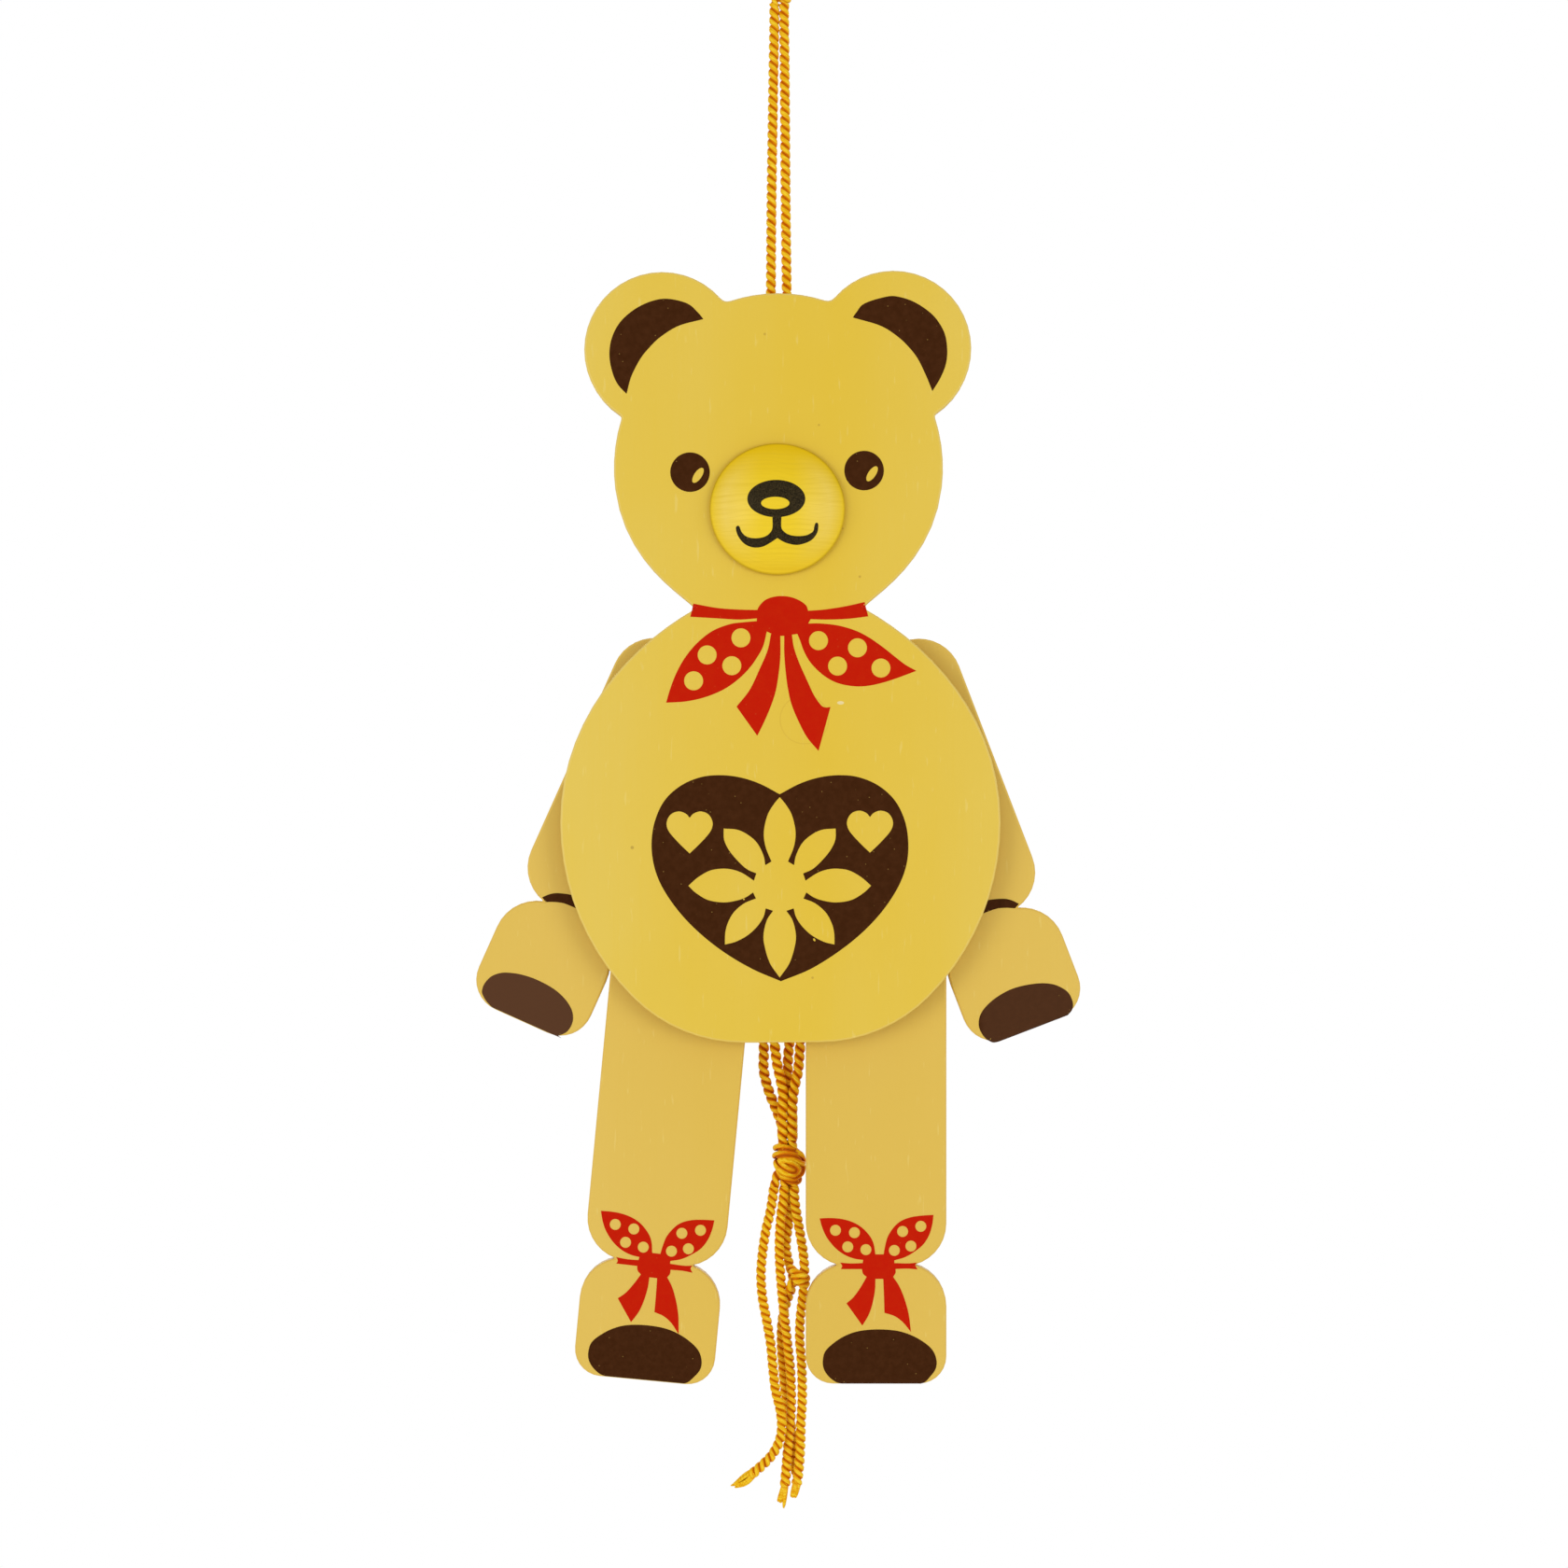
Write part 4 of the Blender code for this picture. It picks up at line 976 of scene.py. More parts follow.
# %% Turn the muzzle
MUZZLE = (-0.5, TORSO_Z + 76.4)
MUZZLE_R = 17.1
MUZZLE_TOP = -14.65
MUZZLE_BACK = -5.65
MUZZLE_EDGE = 0.8
rise = MUZZLE_BACK - MUZZLE_EDGE - MUZZLE_TOP
ball = (MUZZLE_R**2 + rise**2) / (2 * rise)
sweep = math.asin(MUZZLE_R / ball)
DOME_STEPS = 32
profile = [(0, MUZZLE_BACK), (MUZZLE_R - 0.2, MUZZLE_BACK), (MUZZLE_R, MUZZLE_BACK - 0.15)]
for i in range(DOME_STEPS + 1):
    lean = sweep * (1 - i / DOME_STEPS)
    radius = ball * math.sin(lean)
    profile.append((radius, MUZZLE_TOP + ball * (1 - math.cos(lean))))
muzzle = turned("muzzle_turned", profile, MUZZLE, 128)
pick(muzzle)
MUZZLE_WIDE = 0.997
MUZZLE_HIGH = 0.967
bpy.ops.transform.resize(
    value=(MUZZLE_WIDE, 1, MUZZLE_HIGH), center_override=place(MUZZLE[0], 0, MUZZLE[1])
)
bpy.ops.object.transform_apply(location=True, rotation=True, scale=True)
soften(muzzle, 0.16, 3, 25)
print("Muzzle ball radius:", round(ball, 1), "mm")

# %% [markdown]
# The muzzle is stained and lacquered, so its fine grain shows through. Noise stretched sideways
# gives the fibres, and a wave that sways a little the yearly rings. The stain is made paler at the
# left and right as a painted reflection of the side lamps, and deeper yellow toward the top as
# painted light. A thin dark rim at the foot of the dome is partly painted shade and partly lacquer
# gathered there.

# %% Stain the muzzle
stain = Finish("muzzle_paint", 0.34, Specular_IOR_Level=0.2)
x, y, z = stain.axes()
across = (x - MUZZLE[0]) / (MUZZLE_R * MUZZLE_WIDE)
up = (z - MUZZLE[1]) / (MUZZLE_R * MUZZLE_HIGH)
fine = stain.noise(stain.place((0.05, 0.05, 2.6)), 1.0, 3.0, 0.6)
sway = stain.noise(stain.place((0.04, 0.04, 0.04)), 1.0, 2.0)
lines = ((z + sway * 9.0) * 5.2).wave()
rim = across * across + up * up
# Painted reflection of the side lamps: paler toward the left and right, fading at the rim.
side_sheen = (across * across).clamped(0.05, 0.6) * (1 - rim.clamped(0.6, 0.95)) * 0.85
# Painted light: deeper yellow toward the top than at the bottom.
yellow = stain.mix(up.clamped(0.1, 0.9), colour(245, 210, 38), colour(240, 201, 0))
yellow = stain.mix(side_sheen, yellow, colour(248, 218, 104))
yellow = stain.mix(fine.clamped(0.4, 0.7) * 0.35, yellow, colour(228, 190, 26))
yellow = stain.mix(lines.clamped(0.5, 1.0) * 0.1, yellow, colour(214, 174, 18))
# A thin dark rim, partly painted shade at the foot of the dome and partly lacquer gathered there.
yellow = stain.mix(rim.clamped(0.93, 0.985) * 0.55, yellow, colour(160, 122, 18))
stain.set("Base Color", yellow)
stain.set("Roughness", 0.32 + fine * 0.08)
stain.bump(fine, 0.15, 0.03)
own(muzzle, "body", stain, "muzzle")

# %% [markdown]
# The caps keep the limbs on their dowels. Each is a thin zinc-plated cup with a flat brim and a
# rounded crown, pressed over the dowel's end, so its profile has an inside as well as an outside.
# Scuffed metal is even in colour and uneven in shine.

# %% Press the four caps
steel = Finish("bright_steel", 0.3, Metallic=1.0)
scuffs = steel.noise(steel.place((1.1, 1.1, 1.1)), 1.0, 4.0, 0.6)
zinc = steel.mix(scuffs.clamped(0.3, 0.7), colour(176, 178, 182), colour(206, 207, 208))
steel.set("Base Color", zinc)
steel.set("Roughness", 0.26 + scuffs * 0.16)
steel.bump(scuffs, 0.1, 0.02)
CAP_FRONT = 4.45
CAP_R = 4.5
CROWN_R = 3.2
CAP_H = 1.9
PIN_ROOM = 2.4
BRIM = 0.6
BEND_HIGH = 0.6
BEND_STEPS = 6
cap_back = CAP_FRONT + CAP_H
inside = cap_back - 0.5
cap_profile = [(0, inside), (PIN_ROOM, inside), (PIN_ROOM, CAP_FRONT), (CAP_R, CAP_FRONT)]
cap_profile += [(CAP_R, CAP_FRONT + BRIM), (CROWN_R, CAP_FRONT + BRIM)]
for i in range(1, BEND_STEPS + 1):
    bend = math.pi / 2 * i / BEND_STEPS
    depth = cap_back - BEND_HIGH * (1 - math.sin(bend))
    cap_profile.append((CROWN_R - 1.0 + math.cos(bend), depth))
cap_profile.append((0, cap_back))
for limb, centre in PIVOTS.items():
    cap = turned(f"{limb}_cap_pressed", cap_profile, centre, 64)
    soften(cap, 0.12, 2, 30)
    own(cap, "body", steel, f"{limb}_cap")

# %% [markdown]
# The staple behind the head is one bent wire with its two legs driven into the plywood. Its right
# half is a straight leg and a quarter turn, and the left half is the same mirrored. A round tube
# along that line is already the real shape.

# %% Bend the staple
STAPLE_Z = -120
LEG_X = 4.0
LEG_FOOT = -3.85
LEG_TOP = 0.45
STAPLE_BEND = 1.4
STAPLE_STEPS = 8
arch = [place(LEG_X, LEG_FOOT, STAPLE_Z), place(LEG_X, LEG_TOP, STAPLE_Z)]
for i in range(1, STAPLE_STEPS + 1):
    bend = math.pi / 2 * i / STAPLE_STEPS
    x = LEG_X - STAPLE_BEND * (1 - math.cos(bend))
    arch.append(place(x, LEG_TOP + STAPLE_BEND * math.sin(bend), STAPLE_Z))
arch += [Vector((-p.x, p.y, p.z)) for p in reversed(arch)]
staple = tubes("hanger_staple_wire", [arch], 0.5 * MM, resolution=3)
own(staple, "body", steel, "hanger_staple")

# %% [markdown]
# ## Dowels and washers
# The dowels are bare beech and the washers red fibre. Their CAD shapes are already those of the
# real pieces, so they only get a finish. Beech has short pores along the dowel, and fibre is
# pressed felt, mottled the same in every direction.

# %% Finish the dowels and washers
dowel = Finish("dowel_wood", 0.6)
pores = dowel.noise(dowel.place((2.5, 0.2, 2.5)), 1.0, 4.0, 0.6)
beech = dowel.mix(pores.clamped(0.35, 0.7), colour(216, 182, 130), colour(186, 146, 94))
dowel.set("Base Color", beech)
dowel.bump(pores, 0.3, 0.05)
fibre = Finish("fibre_washer", 0.75)
felt = fibre.noise(fibre.place((1.8, 1.8, 1.8)), 1.0, 5.0, 0.7)
red_brown = fibre.mix(felt.clamped(0.35, 0.7), colour(128, 62, 46), colour(98, 46, 34))
fibre.set("Base Color", red_brown)
fibre.bump(felt, 0.4, 0.05)
for limb in PIVOTS:
    for part, look in (("pin", dowel), ("spacer", fibre)):
        node = NODES[f"{limb}_{part}"]
        node.data.materials.clear()
        node.data.materials.append(look.material)
print("Finished in place:", 2 * len(PIVOTS), "CAD parts")

# %% [markdown]
# ## The printed shapes
# Eyes, ears, bows, pads and the heart are printed in three inks. They could be masks in the
# paint, but a shape with corners is far easier to draw as a line. So each print is a flat outline,
# drawn as smooth stretches between its corners, filled, pressed onto the plate, and given the
# thickness of a coat of ink. A shape drawn inside another one is left bare.


# %% Draw and fill an outline
INK = 0.05


def stretch(points, step=0.35):
    """A smooth line through the listed points of one stretch between two corners."""
    if len(points) < 3:
        return list(points)
    line = smooth_line([Vector((x, 0, z)) for x, z in points], step)
    return [(p.x, p.z) for p in line]


def outline(*stretches):
    """One closed outline from stretches that meet at corners."""
    joined = []
    for points in stretches:
        for point in stretch(points):
            if not joined or math.dist(point, joined[-1]) > 0.03:
                joined.append(point)
    if math.dist(joined[0], joined[-1]) < 0.03:
        joined.pop()
    return joined


def mirrored(*stretches):
    """Stretches of a right half from top to bottom, and the same again for the left."""
    other = [[(-x, z) for x, z in reversed(points)] for points in reversed(stretches)]
    return outline(*stretches, *other)


def oval(x, z, wide, high, lean=0.0, count=48):
    """An ellipse about (x, z), leaning clockwise by lean degrees."""
    c, s = math.cos(math.radians(lean)), math.sin(math.radians(lean))
    points = []
    for i in range(count):
        t = 2 * math.pi * i / count
        u, v = wide * math.cos(t), high * math.sin(t)
        points.append((x + u * c + v * s, z - u * s + v * c))
    return points


def shifted(points, x, z, lean=0.0):
    """The points leaned clockwise by lean degrees, then moved by (x, z)."""
    c, s = math.cos(math.radians(lean)), math.sin(math.radians(lean))
    return [(px * c + pz * s + x, pz * c - px * s + z) for px, pz in points]


def fill(name, outlines):
    """A flat sheet in the XY plane, where an outline inside another one is a hole."""
    obj = new_curve(name, "2D")
    obj.data.fill_mode = "FRONT"
    for points in outlines:
        add_line(obj, [place(x, z, 0) for x, z in points], closed=True)
    pick(obj)
    bpy.ops.object.convert(target="MESH")
    return bpy.context.object


def cut_into_cells(obj, cell):
    """Cuts a flat sheet along a grid, so that it can follow a round surface."""
    size = obj.dimensions
    pick(obj)
    bpy.ops.object.mode_set(mode="EDIT")
    for axis in (0, 2):
        low = min(corner[axis] for corner in obj.bound_box)
        for i in range(1, math.ceil(size[axis] / (cell * MM))):
            at, facing = Vector((0, 0, 0)), Vector((0, 0, 0))
            at[axis] = low + i * cell * MM
            facing[axis] = 1
            bpy.ops.mesh.select_all(action="SELECT")
            bpy.ops.mesh.bisect(plane_co=at, plane_no=facing)
    bpy.ops.object.mode_set(mode="OBJECT")


def printed(name, outlines, finish, body, surface, front, centre=(0, 0), turn=0.0, cell=None):
    """A print laid on the front of a surface, about a centre (x, z), swung by turn degrees."""
    obj = fill(name, outlines)
    obj.rotation_euler = (math.pi / 2, math.radians(-turn), 0)
    obj.location = place(centre[0], front - 1, centre[1])
    pick(obj)
    bpy.ops.object.transform_apply(location=True, rotation=True, scale=True)
    if cell:
        cut_into_cells(obj, cell)
    wrap = obj.modifiers.new("onto_the_front", "SHRINKWRAP")
    wrap.target = surface
    wrap.offset = 0.6 * INK * MM
    wrap.wrap_method = "PROJECT"
    wrap.use_project_y = True
    wrap.use_positive_direction = True
    wrap.use_negative_direction = False
    bpy.ops.object.modifier_apply(modifier=wrap.name)
    # A point just past the edge of the plate stays in front of it, and is laid on the rounding.
    for vertex in obj.data.vertices:
        if vertex.co.y < (front - 0.5) * MM:
            vertex.co.y = (front + EDGE_ROUND) * MM
    coat = obj.modifiers.new("coat", "SOLIDIFY")
    coat.thickness = INK * MM
    coat.offset = 0
    bpy.ops.object.modifier_apply(modifier=coat.name)
    bpy.ops.object.shade_smooth_by_angle(angle=math.radians(30))
    return own(obj, body, finish)


def on_body(name, outlines, finish, centre, cell=None):
    return printed(name, outlines, finish, "body", plate, PLATE_FRONT, centre, 0.0, cell)


def on_limb(name, outlines, finish, limb, cell=None):
    """A print on a limb, drawn about its pivot with the limb upright."""
    where = (limb, planks[limb], LIMB_FRONT, PIVOTS[limb], TILTS[limb])
    return printed(f"{limb}_{name}", outlines, finish, *where, cell)


# %% [markdown]
# Ink lies on the paint in a thin coat. It is a little uneven, with a faint mottle and pinholes
# where the paint shows through. One function makes all three inks, because the brown, the red and
# the black differ only in tone, gloss, mottle and pinholes. The brown is made paler on the paws as
# a painted highlight, more on the left paw than on the right, and a mask of the coordinates says
# where they are.


# %% Mix the inks
def ink(name, base, other, rough, mottle_scale, pinholes):
    """An ink, and its colour before anything is laid over it."""
    made = Finish(name, rough, Specular_IOR_Level=0.05)
    mottle = made.noise(made.place((mottle_scale,) * 3), 1.0, 4.0, 0.65)
    tone = made.mix(mottle.clamped(0.38, 0.68), base, other)
    cells = made.node("TexVoronoi", {}, {"Vector": made.place((0.45,) * 3), "Scale": 1.0})
    holes = 1 - cells.clamped(0.05, 0.07)
    tone = made.mix(holes * pinholes, tone, colour(214, 176, 90))
    made.set("Base Color", tone)
    made.set("Roughness", rough + mottle * 0.12)
    made.bump(mottle, 0.2, 0.03)
    return made, tone


brown_ink, tone = ink("brown_ink", colour(61, 29, 4), colour(70, 36, 11), 0.42, 0.6, 0.3)
x, y, z = brown_ink.axes()
PAW_X = 51
PAW_Z = -265
left_paw = (0 - x).clamped(PAW_X - 1, PAW_X + 1)
right_paw = x.clamped(PAW_X - 1, PAW_X + 1) * 0.45
# Painted highlight: the brown is paler on the paws, more on the left one.
paw_highlight_share = (left_paw + right_paw) * (PAW_Z - z).clamped(-1, 1)
brown_ink.set("Base Color", brown_ink.mix(paw_highlight_share, tone, colour(89, 57, 36)))
red_ink, _ = ink("red_ink", colour(198, 25, 0), colour(199, 31, 0), 0.42, 0.5, 0.1)
black_ink, _ = ink("black_ink", colour(24, 18, 6), colour(70, 58, 34), 0.4, 3.4, 0.5)

# %% [markdown]
# The heart on the belly is one large brown shape with a rosette of eight petals and two small
# hearts left bare, and two tiny chips in its ink. The rosette is the same on both sides, so only
# its right half is drawn. The large heart leans a little, so both of its sides are drawn.

# %% Print the heart
HEART_X = 0.09
ROSETTE_Z = TORSO_Z - 18.4
heart = outline(
    [
        (0, 23.2), (4.9, 25.8), (9.8, 27.4), (14.8, 28.0), (19.8, 27.5), (24.8, 25.4),
        (28.9, 21.7), (31.4, 16.7), (32.3, 11.4), (32.0, 6.2), (30.4, 1.2), (27.6, -3.7),
        (23.8, -8.5), (19.0, -13.1), (13.4, -17.3), (7.4, -20.9), (0.3, -23.8),
    ],
    [
        (0.3, -23.8), (-6.5, -20.9), (-12.8, -17.3), (-18.5, -13.1), (-23.4, -8.5), (-27.3, -3.7),
        (-30.2, 1.2), (-31.8, 6.2), (-32.2, 11.4), (-31.3, 16.7), (-28.9, 21.7), (-24.8, 25.4),
        (-19.8, 27.5), (-14.8, 28.0), (-9.8, 27.4), (-4.9, 25.8), (0, 23.2),
    ],
)
rosette = mirrored(
    [(0, 22.5), (1.5, 20.7), (3.1, 17.9), (4.0, 13.8), (3.6, 10.1), (2.1, 6.3)],
    [(2.1, 6.3), (3.6, 5.4)],
    [(3.6, 5.4), (4.1, 7.9), (5.7, 11.0), (8.1, 13.1), (10.7, 14.3), (14.1, 14.6)],
    [(14.1, 14.6), (14.0, 11.8), (12.8, 9.2), (10.7, 6.6), (8.3, 4.4), (5.9, 3.3)],
    [(5.9, 3.3), (6.5, 1.5)],
    [(6.5, 1.5), (9.4, 3.4), (12.0, 4.3), (14.6, 4.5), (17.6, 4.0), (20.6, 2.3), (23.0, 0.2)],
    [(23.0, 0.2), (21.1, -1.6), (18.0, -3.4), (14.1, -4.0), (10.7, -3.5), (8.5, -2.7), (6.7, -1.5)],
    [(6.7, -1.5), (6.0, -3.0)],
    [(6.0, -3.0), (8.9, -4.2), (11.5, -6.4), (13.0, -9.0), (13.7, -11.6), (13.8, -14.6)],
    [(13.8, -14.6), (11.1, -13.9), (8.1, -12.3), (5.7, -10.1), (4.1, -7.7), (3.5, -5.5)],
    [(3.5, -5.5), (1.7, -6.1)],
    [(1.7, -6.1), (3.3, -8.6), (4.1, -12.3), (3.7, -15.5), (2.4, -19.4), (0.0, -22.9)],
)
small_heart = mirrored(
    [
        (0, 17.5), (0.9, 18.5), (2.6, 19.1), (4.4, 18.6), (5.5, 17.3), (5.8, 15.6),
        (5.0, 13.7), (2.5, 10.9), (0, 8.5),
    ]
)
chips = [oval(-9.0, -3.2, 0.25, 0.22, 20, 7), oval(8.7, -13.4, 0.45, 0.28, 60, 7)]
bare = [rosette, shifted(small_heart, -22.65, -0.2), shifted(small_heart, 22.7, 0), *chips]
on_body("heart_print", [heart, *bare], brown_ink, (HEART_X, ROSETTE_Z))

# %% [markdown]
# An eye is a disc with a small slanting oval left bare as its shine. The inside of an ear is a
# crescent of two curves that meet at the two tips, and the two ears differ a little.

# %% Print the eyes and the insides of the ears
for side, (x, z) in {"left": (-22.46, 85.8), "right": (21.31, 86.2)}.items():
    shine = oval(2.0, -0.8, 0.97, 2.2, 34)
    eye = oval(0, 0, 4.96, 4.96, 0, 72)
    on_body(f"{side}_eye_print", [eye, shine], brown_ink, (x, TORSO_Z + z))
left_ear = outline(
    [
        (10.4, 7.8), (9.0, 9.5), (6.3, 11.75), (1.3, 12.9), (-2.9, 12.2), (-7.1, 10.1),
        (-10.6, 6.9), (-12.6, 3.0), (-13.2, -1.2), (-12.5, -5.4), (-11.1, -8.6), (-8.9, -11.0),
    ],
    [(-8.9, -11.0), (-7.7, -6.6), (-5.5, -2.3), (-3.3, 0.5), (-0.4, 3.3), (4.2, 6.1), (10.4, 7.8)],
)
right_ear = outline(
    [
        (-10.1, 7.7), (-9.2, 9.0), (-7.2, 11.2), (-1.8, 12.9), (1.4, 12.9), (5.7, 11.4),
        (10.1, 8.2), (12.8, 4.1), (13.6, -0.1), (13.3, -3.9), (11.9, -7.5), (9.9, -10.8),
    ],
    [(9.9, -10.8), (8.3, -6.9), (6.3, -2.8), (4.2, 0.0), (1.3, 2.8), (-3.1, 5.6), (-10.1, 7.7)],
)
on_body("left_ear_print", [left_ear], brown_ink, (-29.53, TORSO_Z + 116.5))
on_body("right_ear_print", [right_ear], brown_ink, (28.59, TORSO_Z + 117.0))

# %% [markdown]
# The bow at the neck is one closed line: band, knot, two loops and two tails, drawn clockwise from
# the left end of the band, with eight dots left bare in the loops. It runs out to the edge of the
# neck, so it is cut into small cells that can follow the rounded edge.

# %% Print the bow at the neck
neck_bow = outline(
    [(-22.5, 3.1), (-16.4, 2.0), (-10.9, 1.6), (-6.4, 1.5)],
    [
        (-6.4, 1.5), (-5.8, 2.6), (-4.4, 4.0), (-2.3, 4.8), (0, 5.0), (2.2, 4.7), (4.4, 3.8),
        (5.9, 2.6), (6.4, 1.3),
    ],
    [(6.4, 1.3), (10.4, 1.6), (15.6, 2.4), (20.6, 3.5)],
    [(20.6, 3.5), (21.5, -0.1)],
    [(21.5, -0.1), (16.4, -0.7), (11.3, -0.9), (7.0, -0.8)],
    [(7.0, -0.8), (6.4, -1.9)],
    [
        (6.4, -1.9), (9.6, -1.9), (13.9, -2.4), (18.1, -3.6), (21.5, -5.3), (25.0, -7.7),
        (28.4, -10.4), (30.9, -12.3), (33.6, -13.8),
    ],
    [
        (33.6, -13.8), (29.6, -15.3), (25.4, -16.7), (21.1, -17.6), (17.3, -17.6), (13.4, -16.7),
        (10.0, -14.7), (7.0, -11.7), (5.3, -8.7), (4.4, -6.2), (3.7, -4.5),
    ],
    [(3.7, -4.5), (2.3, -4.7)],
    [
        (2.3, -4.7), (2.8, -7.9), (4.1, -11.7), (6.2, -16.4), (7.9, -20.0), (9.6, -22.4),
        (10.7, -23.0), (12.0, -22.9),
    ],
    [(12.0, -22.9), (9.0, -33.9)],
    [
        (9.0, -33.9), (6.2, -30.6), (4.1, -26.7), (2.3, -22.4), (1.3, -18.1), (0.7, -13.4),
        (0.4, -9.2), (0.4, -5.0),
    ],
    [(0.4, -5.0), (-0.6, -5.0)],
    [
        (-0.6, -5.0), (-0.6, -10.0), (-1.0, -14.3), (-1.8, -19.0), (-3.2, -23.2), (-4.9, -27.1),
        (-6.4, -30.1),
    ],
    [(-6.4, -30.1), (-11.6, -22.8)],
    [(-11.6, -22.8), (-8.3, -18.6), (-5.8, -13.4), (-3.8, -8.7), (-2.9, -4.4)],
    [(-2.9, -4.4), (-4.0, -3.9)],
    [
        (-4.0, -3.9), (-4.9, -7.5), (-6.2, -10.0), (-8.3, -13.0), (-11.3, -16.0), (-15.1, -18.6),
        (-19.8, -20.5), (-24.5, -21.5), (-29.3, -21.8),
    ],
    [
        (-29.3, -21.8), (-28.2, -18.1), (-26.7, -14.3), (-24.5, -10.4), (-21.5, -6.8),
        (-17.7, -3.8), (-13.4, -2.1), (-10.0, -1.6), (-6.5, -1.3),
    ],
    [(-6.5, -1.3), (-6.5, -0.6)],
    [(-6.5, -0.6), (-10.9, -0.9), (-16.4, -0.6), (-23.2, -0.2)],
    [(-23.2, -0.2), (-22.5, 3.1)],
)
NECK_DOTS = (
    (-10.5, -5.5), (-19.0, -9.8), (-12.8, -12.5), (-22.4, -16.3),
    (9.0, -6.2), (18.8, -8.0), (13.8, -12.6), (24.7, -13.1),
)
dots = [oval(x, z, 2.4, 2.4) for x, z in NECK_DOTS]
bow_centre = (0.84, TORSO_Z + 49.64)
on_body("neck_bow_print", [neck_bow, *dots], red_ink, bow_centre, 0.5)

# %% [markdown]
# Both ankles wear the same bow and both feet the same pad, so each is drawn once, with the limb
# upright: the bow about its own knot, and the pad about the limb's pivot. Each is then moved to
# its place, which differs a little between the two legs, and swung with its limb.

# %% Print the bows at the ankles
ankle_bow = outline(
    [
        (-15.0, 12.2), (-12.4, 12.3), (-9.7, 12.1), (-7.0, 11.4), (-4.6, 10.1), (-2.5, 8.0),
        (-1.4, 5.9), (-0.9, 3.1),
    ],
    [(-0.9, 3.1), (1.2, 3.1)],
    [
        (1.2, 3.1), (1.6, 5.3), (2.3, 7.7), (3.9, 10.1), (5.7, 11.6), (8.1, 12.5), (10.8, 12.9),
        (13.8, 13.1),
    ],
    [(13.8, 13.1), (13.5, 10.7), (12.7, 8.0), (11.2, 5.6), (9.0, 3.8), (6.6, 2.4), (3.9, 1.6)],
    [(3.9, 1.6), (3.9, 0.9)],
    [(3.9, 0.9), (7.2, 0.8), (9.6, 1.0)],
    [(9.6, 1.0), (9.2, 0.3), (9.8, -0.7)],
    [(9.8, -0.7), (7.2, -0.5), (4.2, -0.6)],
    [(4.2, -0.6), (4.2, -1.6), (3.6, -2.6)],
    [(3.6, -2.6), (5.1, -4.9), (6.4, -8.0), (7.5, -11.9), (8.1, -16.5)],
    [(8.1, -16.5), (6.0, -14.0), (3.9, -12.5), (1.4, -11.7)],
    [(1.4, -11.7), (1.3, -7.7), (1.1, -3.1)],
    [(1.1, -3.1), (-0.9, -3.1)],
    [(-0.9, -3.1), (-1.0, -5.8), (-1.6, -9.2), (-2.6, -12.2), (-4.2, -14.9)],
    [(-4.2, -14.9), (-8.2, -9.3)],
    [(-8.2, -9.3), (-6.4, -7.7), (-4.6, -5.2), (-3.1, -2.6)],
    [(-3.1, -2.6), (-4.0, -1.8), (-4.3, -0.6)],
    [(-4.3, -0.6), (-6.7, -0.6), (-9.6, -0.6)],
    [(-9.6, -0.6), (-9.3, 0.2), (-9.8, 1.0)],
    [(-9.8, 1.0), (-7.0, 0.8), (-4.1, 0.9)],
    [(-4.1, 0.9), (-4.0, 1.7)],
    [(-4.0, 1.7), (-6.1, 2.0), (-8.5, 2.9), (-10.9, 4.6), (-13.0, 7.1), (-14.2, 9.5), (-15.0, 12.2)],
)
ANKLE_DOTS = (
    (-11.0, 9.2), (-6.2, 8.6), (-7.9, 5.0), (-3.3, 4.3),
    (6.0, 8.9), (10.6, 10.2), (8.1, 5.2), (3.9, 4.1),
)
ankle_dots = [oval(x, z, 1.4, 1.4, 0, 32) for x, z in ANKLE_DOTS]
foot_pad = outline(
    [
        (-8.7, -108.7), (-10.2, -108.2), (-12.0, -106.8), (-13.2, -105.0), (-13.5, -102.9),
        (-12.9, -100.5), (-10.8, -98.4), (-7.8, -96.5), (-4.2, -95.3), (0.6, -94.9), (5.5, -95.3),
        (9.4, -96.6), (12.7, -98.6), (14.5, -100.5), (15.3, -102.9), (15.0, -105.0),
        (13.7, -106.8), (12.4, -108.2), (11.3, -108.7),
    ],
    [(11.3, -108.7), (-8.7, -108.7)],
)
BOW_PLACES = {"left_leg": (0.25, -79.45, 1.2), "right_leg": (0.7, -79.0, 0)}
PAD_PLACES = {"left_leg": (-0.8, 0.2), "right_leg": (0, 0)}
for limb, where in BOW_PLACES.items():
    bow = [shifted(shape, *where) for shape in (ankle_bow, *ankle_dots)]
    on_limb("ankle_bow_print", bow, red_ink, limb, 0.4)
    pad = shifted(foot_pad, *PAD_PLACES[limb])
    on_limb("foot_pad_print", [pad], brown_ink, limb, 0.4)

# %% [markdown]
# A thin curved line marks each wrist, and a pad fills the end of each paw. The wrists share one
# shape, but the corners of the two pads differ, so each pad has its own.

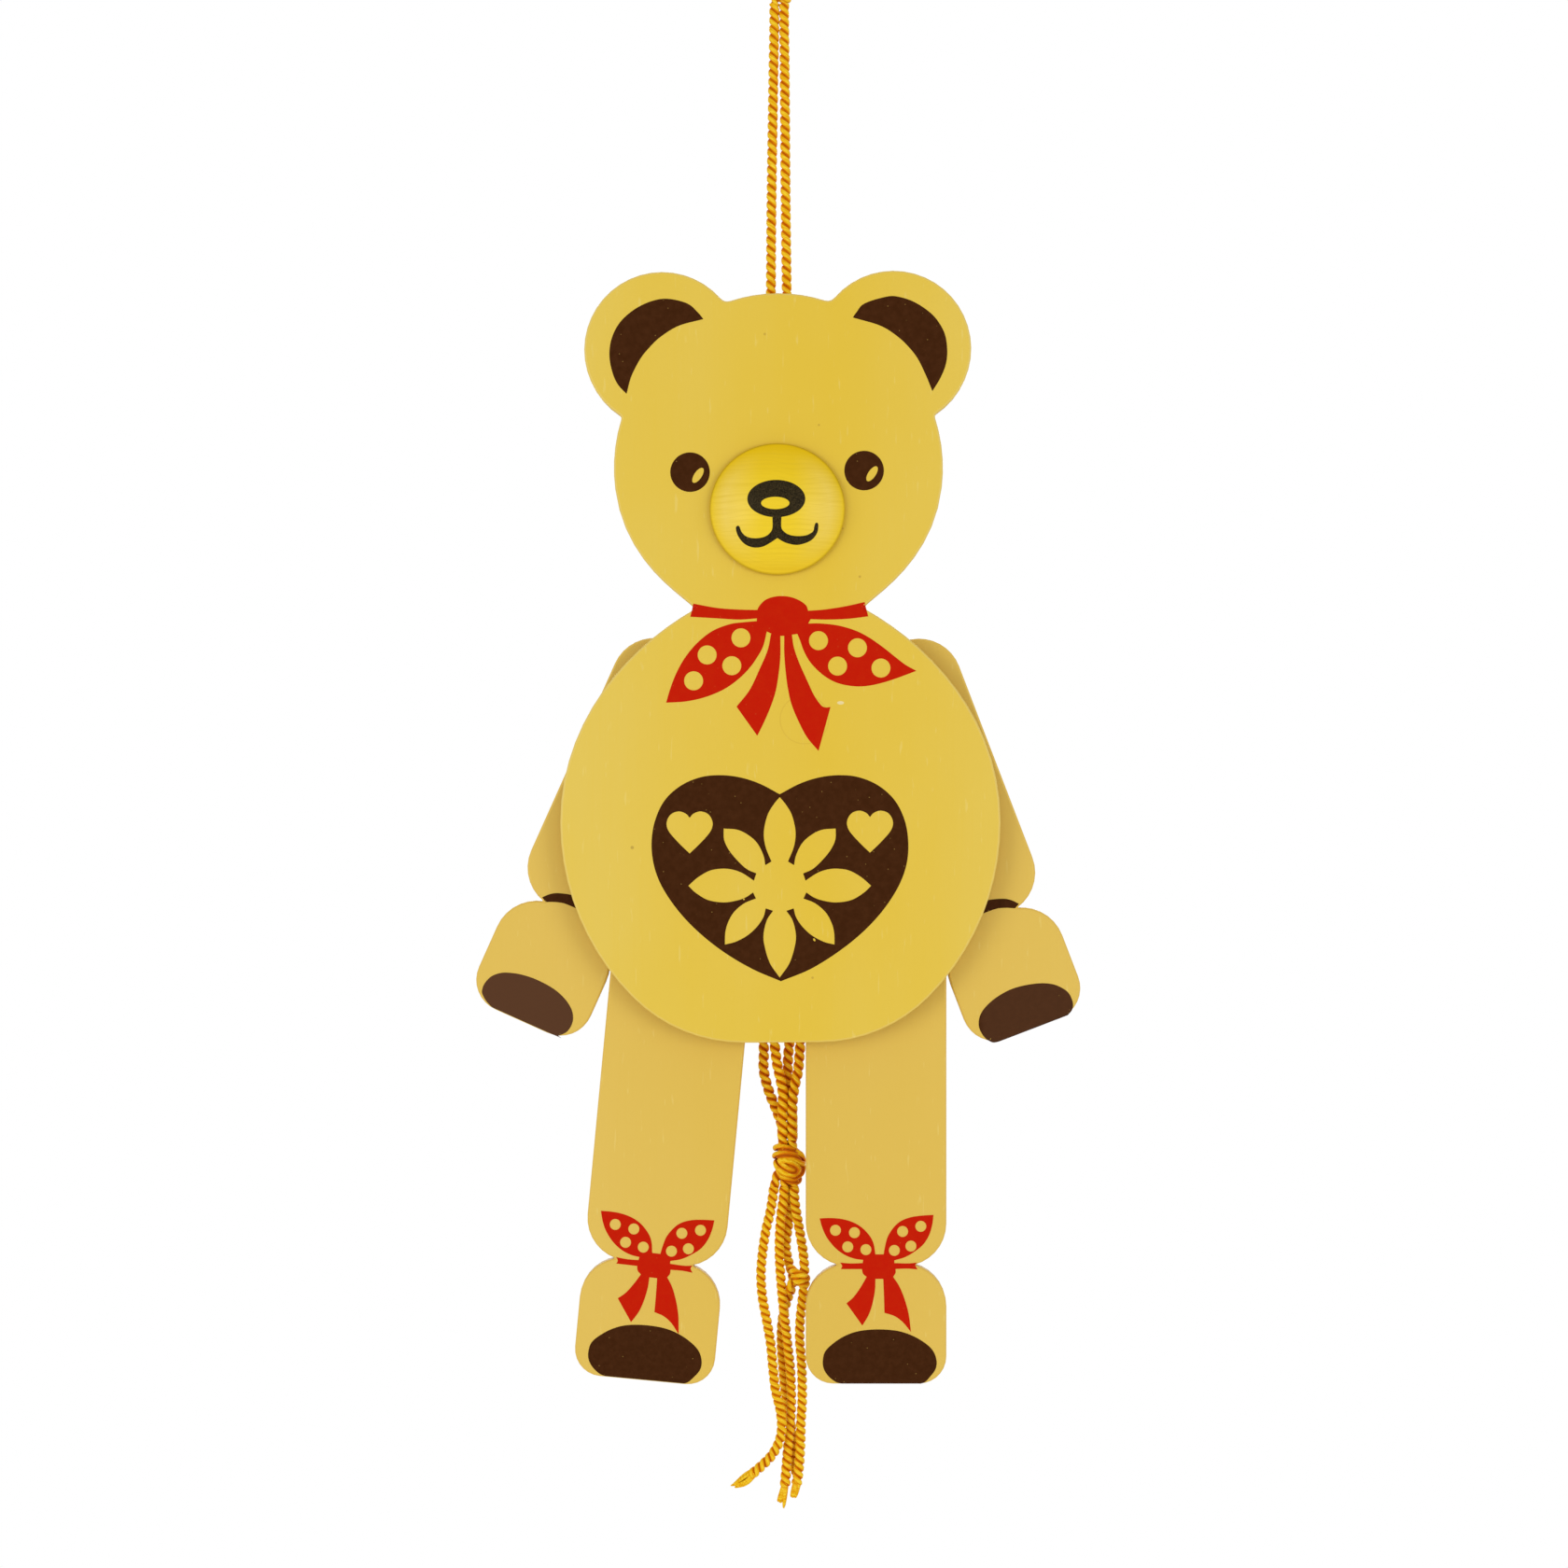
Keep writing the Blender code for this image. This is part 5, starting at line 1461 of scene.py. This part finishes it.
# %% Print the wrists and the paws
wrist = outline(
    [
        (-8.0, -58.6), (-6.6, -57.1), (-4.8, -56.0), (-1.4, -55.0), (1.4, -55.0), (4.8, -56.0),
        (6.6, -57.1), (8.0, -58.6),
    ],
    [(8.0, -58.6), (6.7, -59.3)],
    [(6.7, -59.3), (4.4, -58.3), (2.0, -57.7), (-2.0, -57.7), (-4.4, -58.3), (-6.7, -59.3)],
    [(-6.7, -59.3), (-8.0, -58.6)],
)
paw_pads = {
    "left": outline(
        [
            (-8.2, -89.2), (-10.1, -88.4), (-11.5, -87.4), (-12.2, -86.5), (-12.4, -84.6),
            (-11.6, -82.2), (-9.8, -80.4), (-7.7, -79.4), (-4.8, -78.6), (-0.9, -78.2),
            (3.8, -78.5), (7.5, -79.6), (10.2, -81.3), (11.6, -83.2), (12.0, -85.3),
            (11.5, -87.3), (10.0, -89.0),
        ],
        [(10.0, -89.0), (9.6, -89.2), (-8.2, -89.2)],
    ),
    "right": outline(
        [
            (-9.3, -89.4), (-10.8, -89.0), (-12.1, -87.3), (-12.6, -85.2), (-12.4, -83.4),
            (-11.3, -81.5), (-9.3, -80.0), (-5.9, -78.7), (-1.8, -78.1), (2.0, -78.4),
            (5.8, -79.3), (8.6, -80.6), (10.5, -82.3), (11.7, -84.3), (11.8, -86.8),
            (11.0, -88.5), (9.5, -89.4),
        ],
        [(9.5, -89.4), (-9.3, -89.4)],
    ),
}
for side in SIDES:
    limb = f"{side}_arm"
    on_limb("wrist_print", [wrist], brown_ink, limb, 0.4)
    on_limb("paw_pad_print", [paw_pads[side]], brown_ink, limb, 0.4)

# %% [markdown]
# The nose and the mouth are printed on the dome. A flat sheet can't bend within one face, so
# their shape is cut into small cells, and then it follows the dome when it is sent straight back
# onto the muzzle.

# %% Print the nose and the mouth on the dome
nose_outer = oval(-0.25, 2.8, 7.2, 4.68, 0, 72)
nose_inner = oval(-0.5, 1.65, 3.55, 1.55, 0, 48)
mouth = outline(
    [
        (-1.2, -1.9), (-1.2, -4.5), (-1.9, -5.8), (-3.1, -6.6), (-4.8, -6.95), (-6.6, -6.85),
        (-8.0, -6.3), (-9.0, -5.2), (-9.4, -4.1), (-9.8, -3.75), (-10.3, -4.1), (-10.2, -5.2),
        (-9.6, -6.6), (-8.4, -8.05), (-6.9, -8.9), (-5.3, -9.2), (-3.5, -8.95), (-1.7, -8.05),
        (0, -6.95),
    ],
    [
        (0, -6.95), (1.8, -7.95), (3.6, -8.45), (5.1, -8.55), (6.8, -8.15), (8.3, -7.45),
        (9.4, -6.4), (10.1, -5.0), (10.2, -3.4), (9.9, -3.0), (9.5, -3.2), (9.2, -4.2),
        (9.1, -4.9), (8.6, -5.5), (7.2, -6.2), (5.1, -6.45), (3.1, -6.2), (1.8, -5.5),
        (1.0, -4.4), (1.0, -1.8),
    ],
    [(1.0, -1.8), (-1.2, -1.9)],
)
FACE = (MUZZLE[0], MUZZLE[1] - 0.8)
for name, shapes in (("nose", [nose_outer, nose_inner]), ("mouth", [mouth])):
    printed(f"{name}_print", shapes, black_ink, "body", muzzle, MUZZLE_TOP, FACE, 0.0, 0.7)

# %% [markdown]
# ## Floor and light
# The toy hangs high over a small pale floor, which only the views from above or below see.

# %% Lay the floor
FLOOR_PLACE = place(0, 0, -620)
bpy.ops.object.select_all(action="DESELECT")
bpy.ops.mesh.primitive_cylinder_add(vertices=96, radius=0.6, depth=0.01, location=FLOOR_PLACE)
floor = bpy.context.object
floor.name = "floor"
soften(floor, 3.0, 3)
floor_look = Finish("floor_paint", 0.8)
cloud = floor_look.noise(floor_look.place((0.02, 0.02, 0.02)), 1.0)
pale_grey = floor_look.mix(cloud * 0.2, colour(244, 244, 244), colour(238, 238, 238))
floor_look.set("Base Color", pale_grey)
floor.data.materials.append(floor_look.material)

# %% [markdown]
# Two large soft lamps stand in front, to the left and the right, and one behind, and the white
# surroundings fill the shadows. White walls could be built, but the world's own colour does the
# same. The camera and every shine see it as plain white, while its light on the toy is weaker, so
# that the paint keeps its colour.


# %% Hang the lamps
def lamp(name, where, aim, size, power):
    """A square lamp at a place, turned toward an aim, both in millimetres."""
    bpy.ops.object.light_add(type="AREA", location=place(*where))
    obj = bpy.context.object
    obj.name = name
    obj.rotation_euler = (place(*aim) - place(*where)).to_track_quat("-Z", "Y").to_euler()
    obj.data.shape = "SQUARE"
    obj.data.size = size * MM
    obj.data.energy = power
    obj.visible_camera = False
    print(f"{name}: {power} W")


AIM = (0, 0, -230)
lamp("lamp_left", (-950, -900, -180), AIM, 700, 4.6)
lamp("lamp_right", (950, -900, -180), AIM, 700, 4.0)
lamp("lamp_back", (0, 1100, 300), AIM, 800, 6.0)

world = bpy.data.worlds.new("white_room")
bpy.context.scene.world = world
sky = Graph(world)
background = sky.tree.nodes["Background"]
seen_as_white = 0.0
for ray in ("Is Camera Ray", "Is Glossy Ray", "Is Transmission Ray"):
    seen_as_white = sky.maths("MAXIMUM", seen_as_white, sky.node("LightPath", output=ray))
fill_light = {"Value": seen_as_white, "To Min": 0.6, "To Max": 1.0}
sky.join((1, 1, 1, 1), background.inputs["Color"])
sky.join(sky.node("MapRange", {}, fill_light), background.inputs["Strength"])
bpy.context.scene.view_settings.view_transform = "Standard"
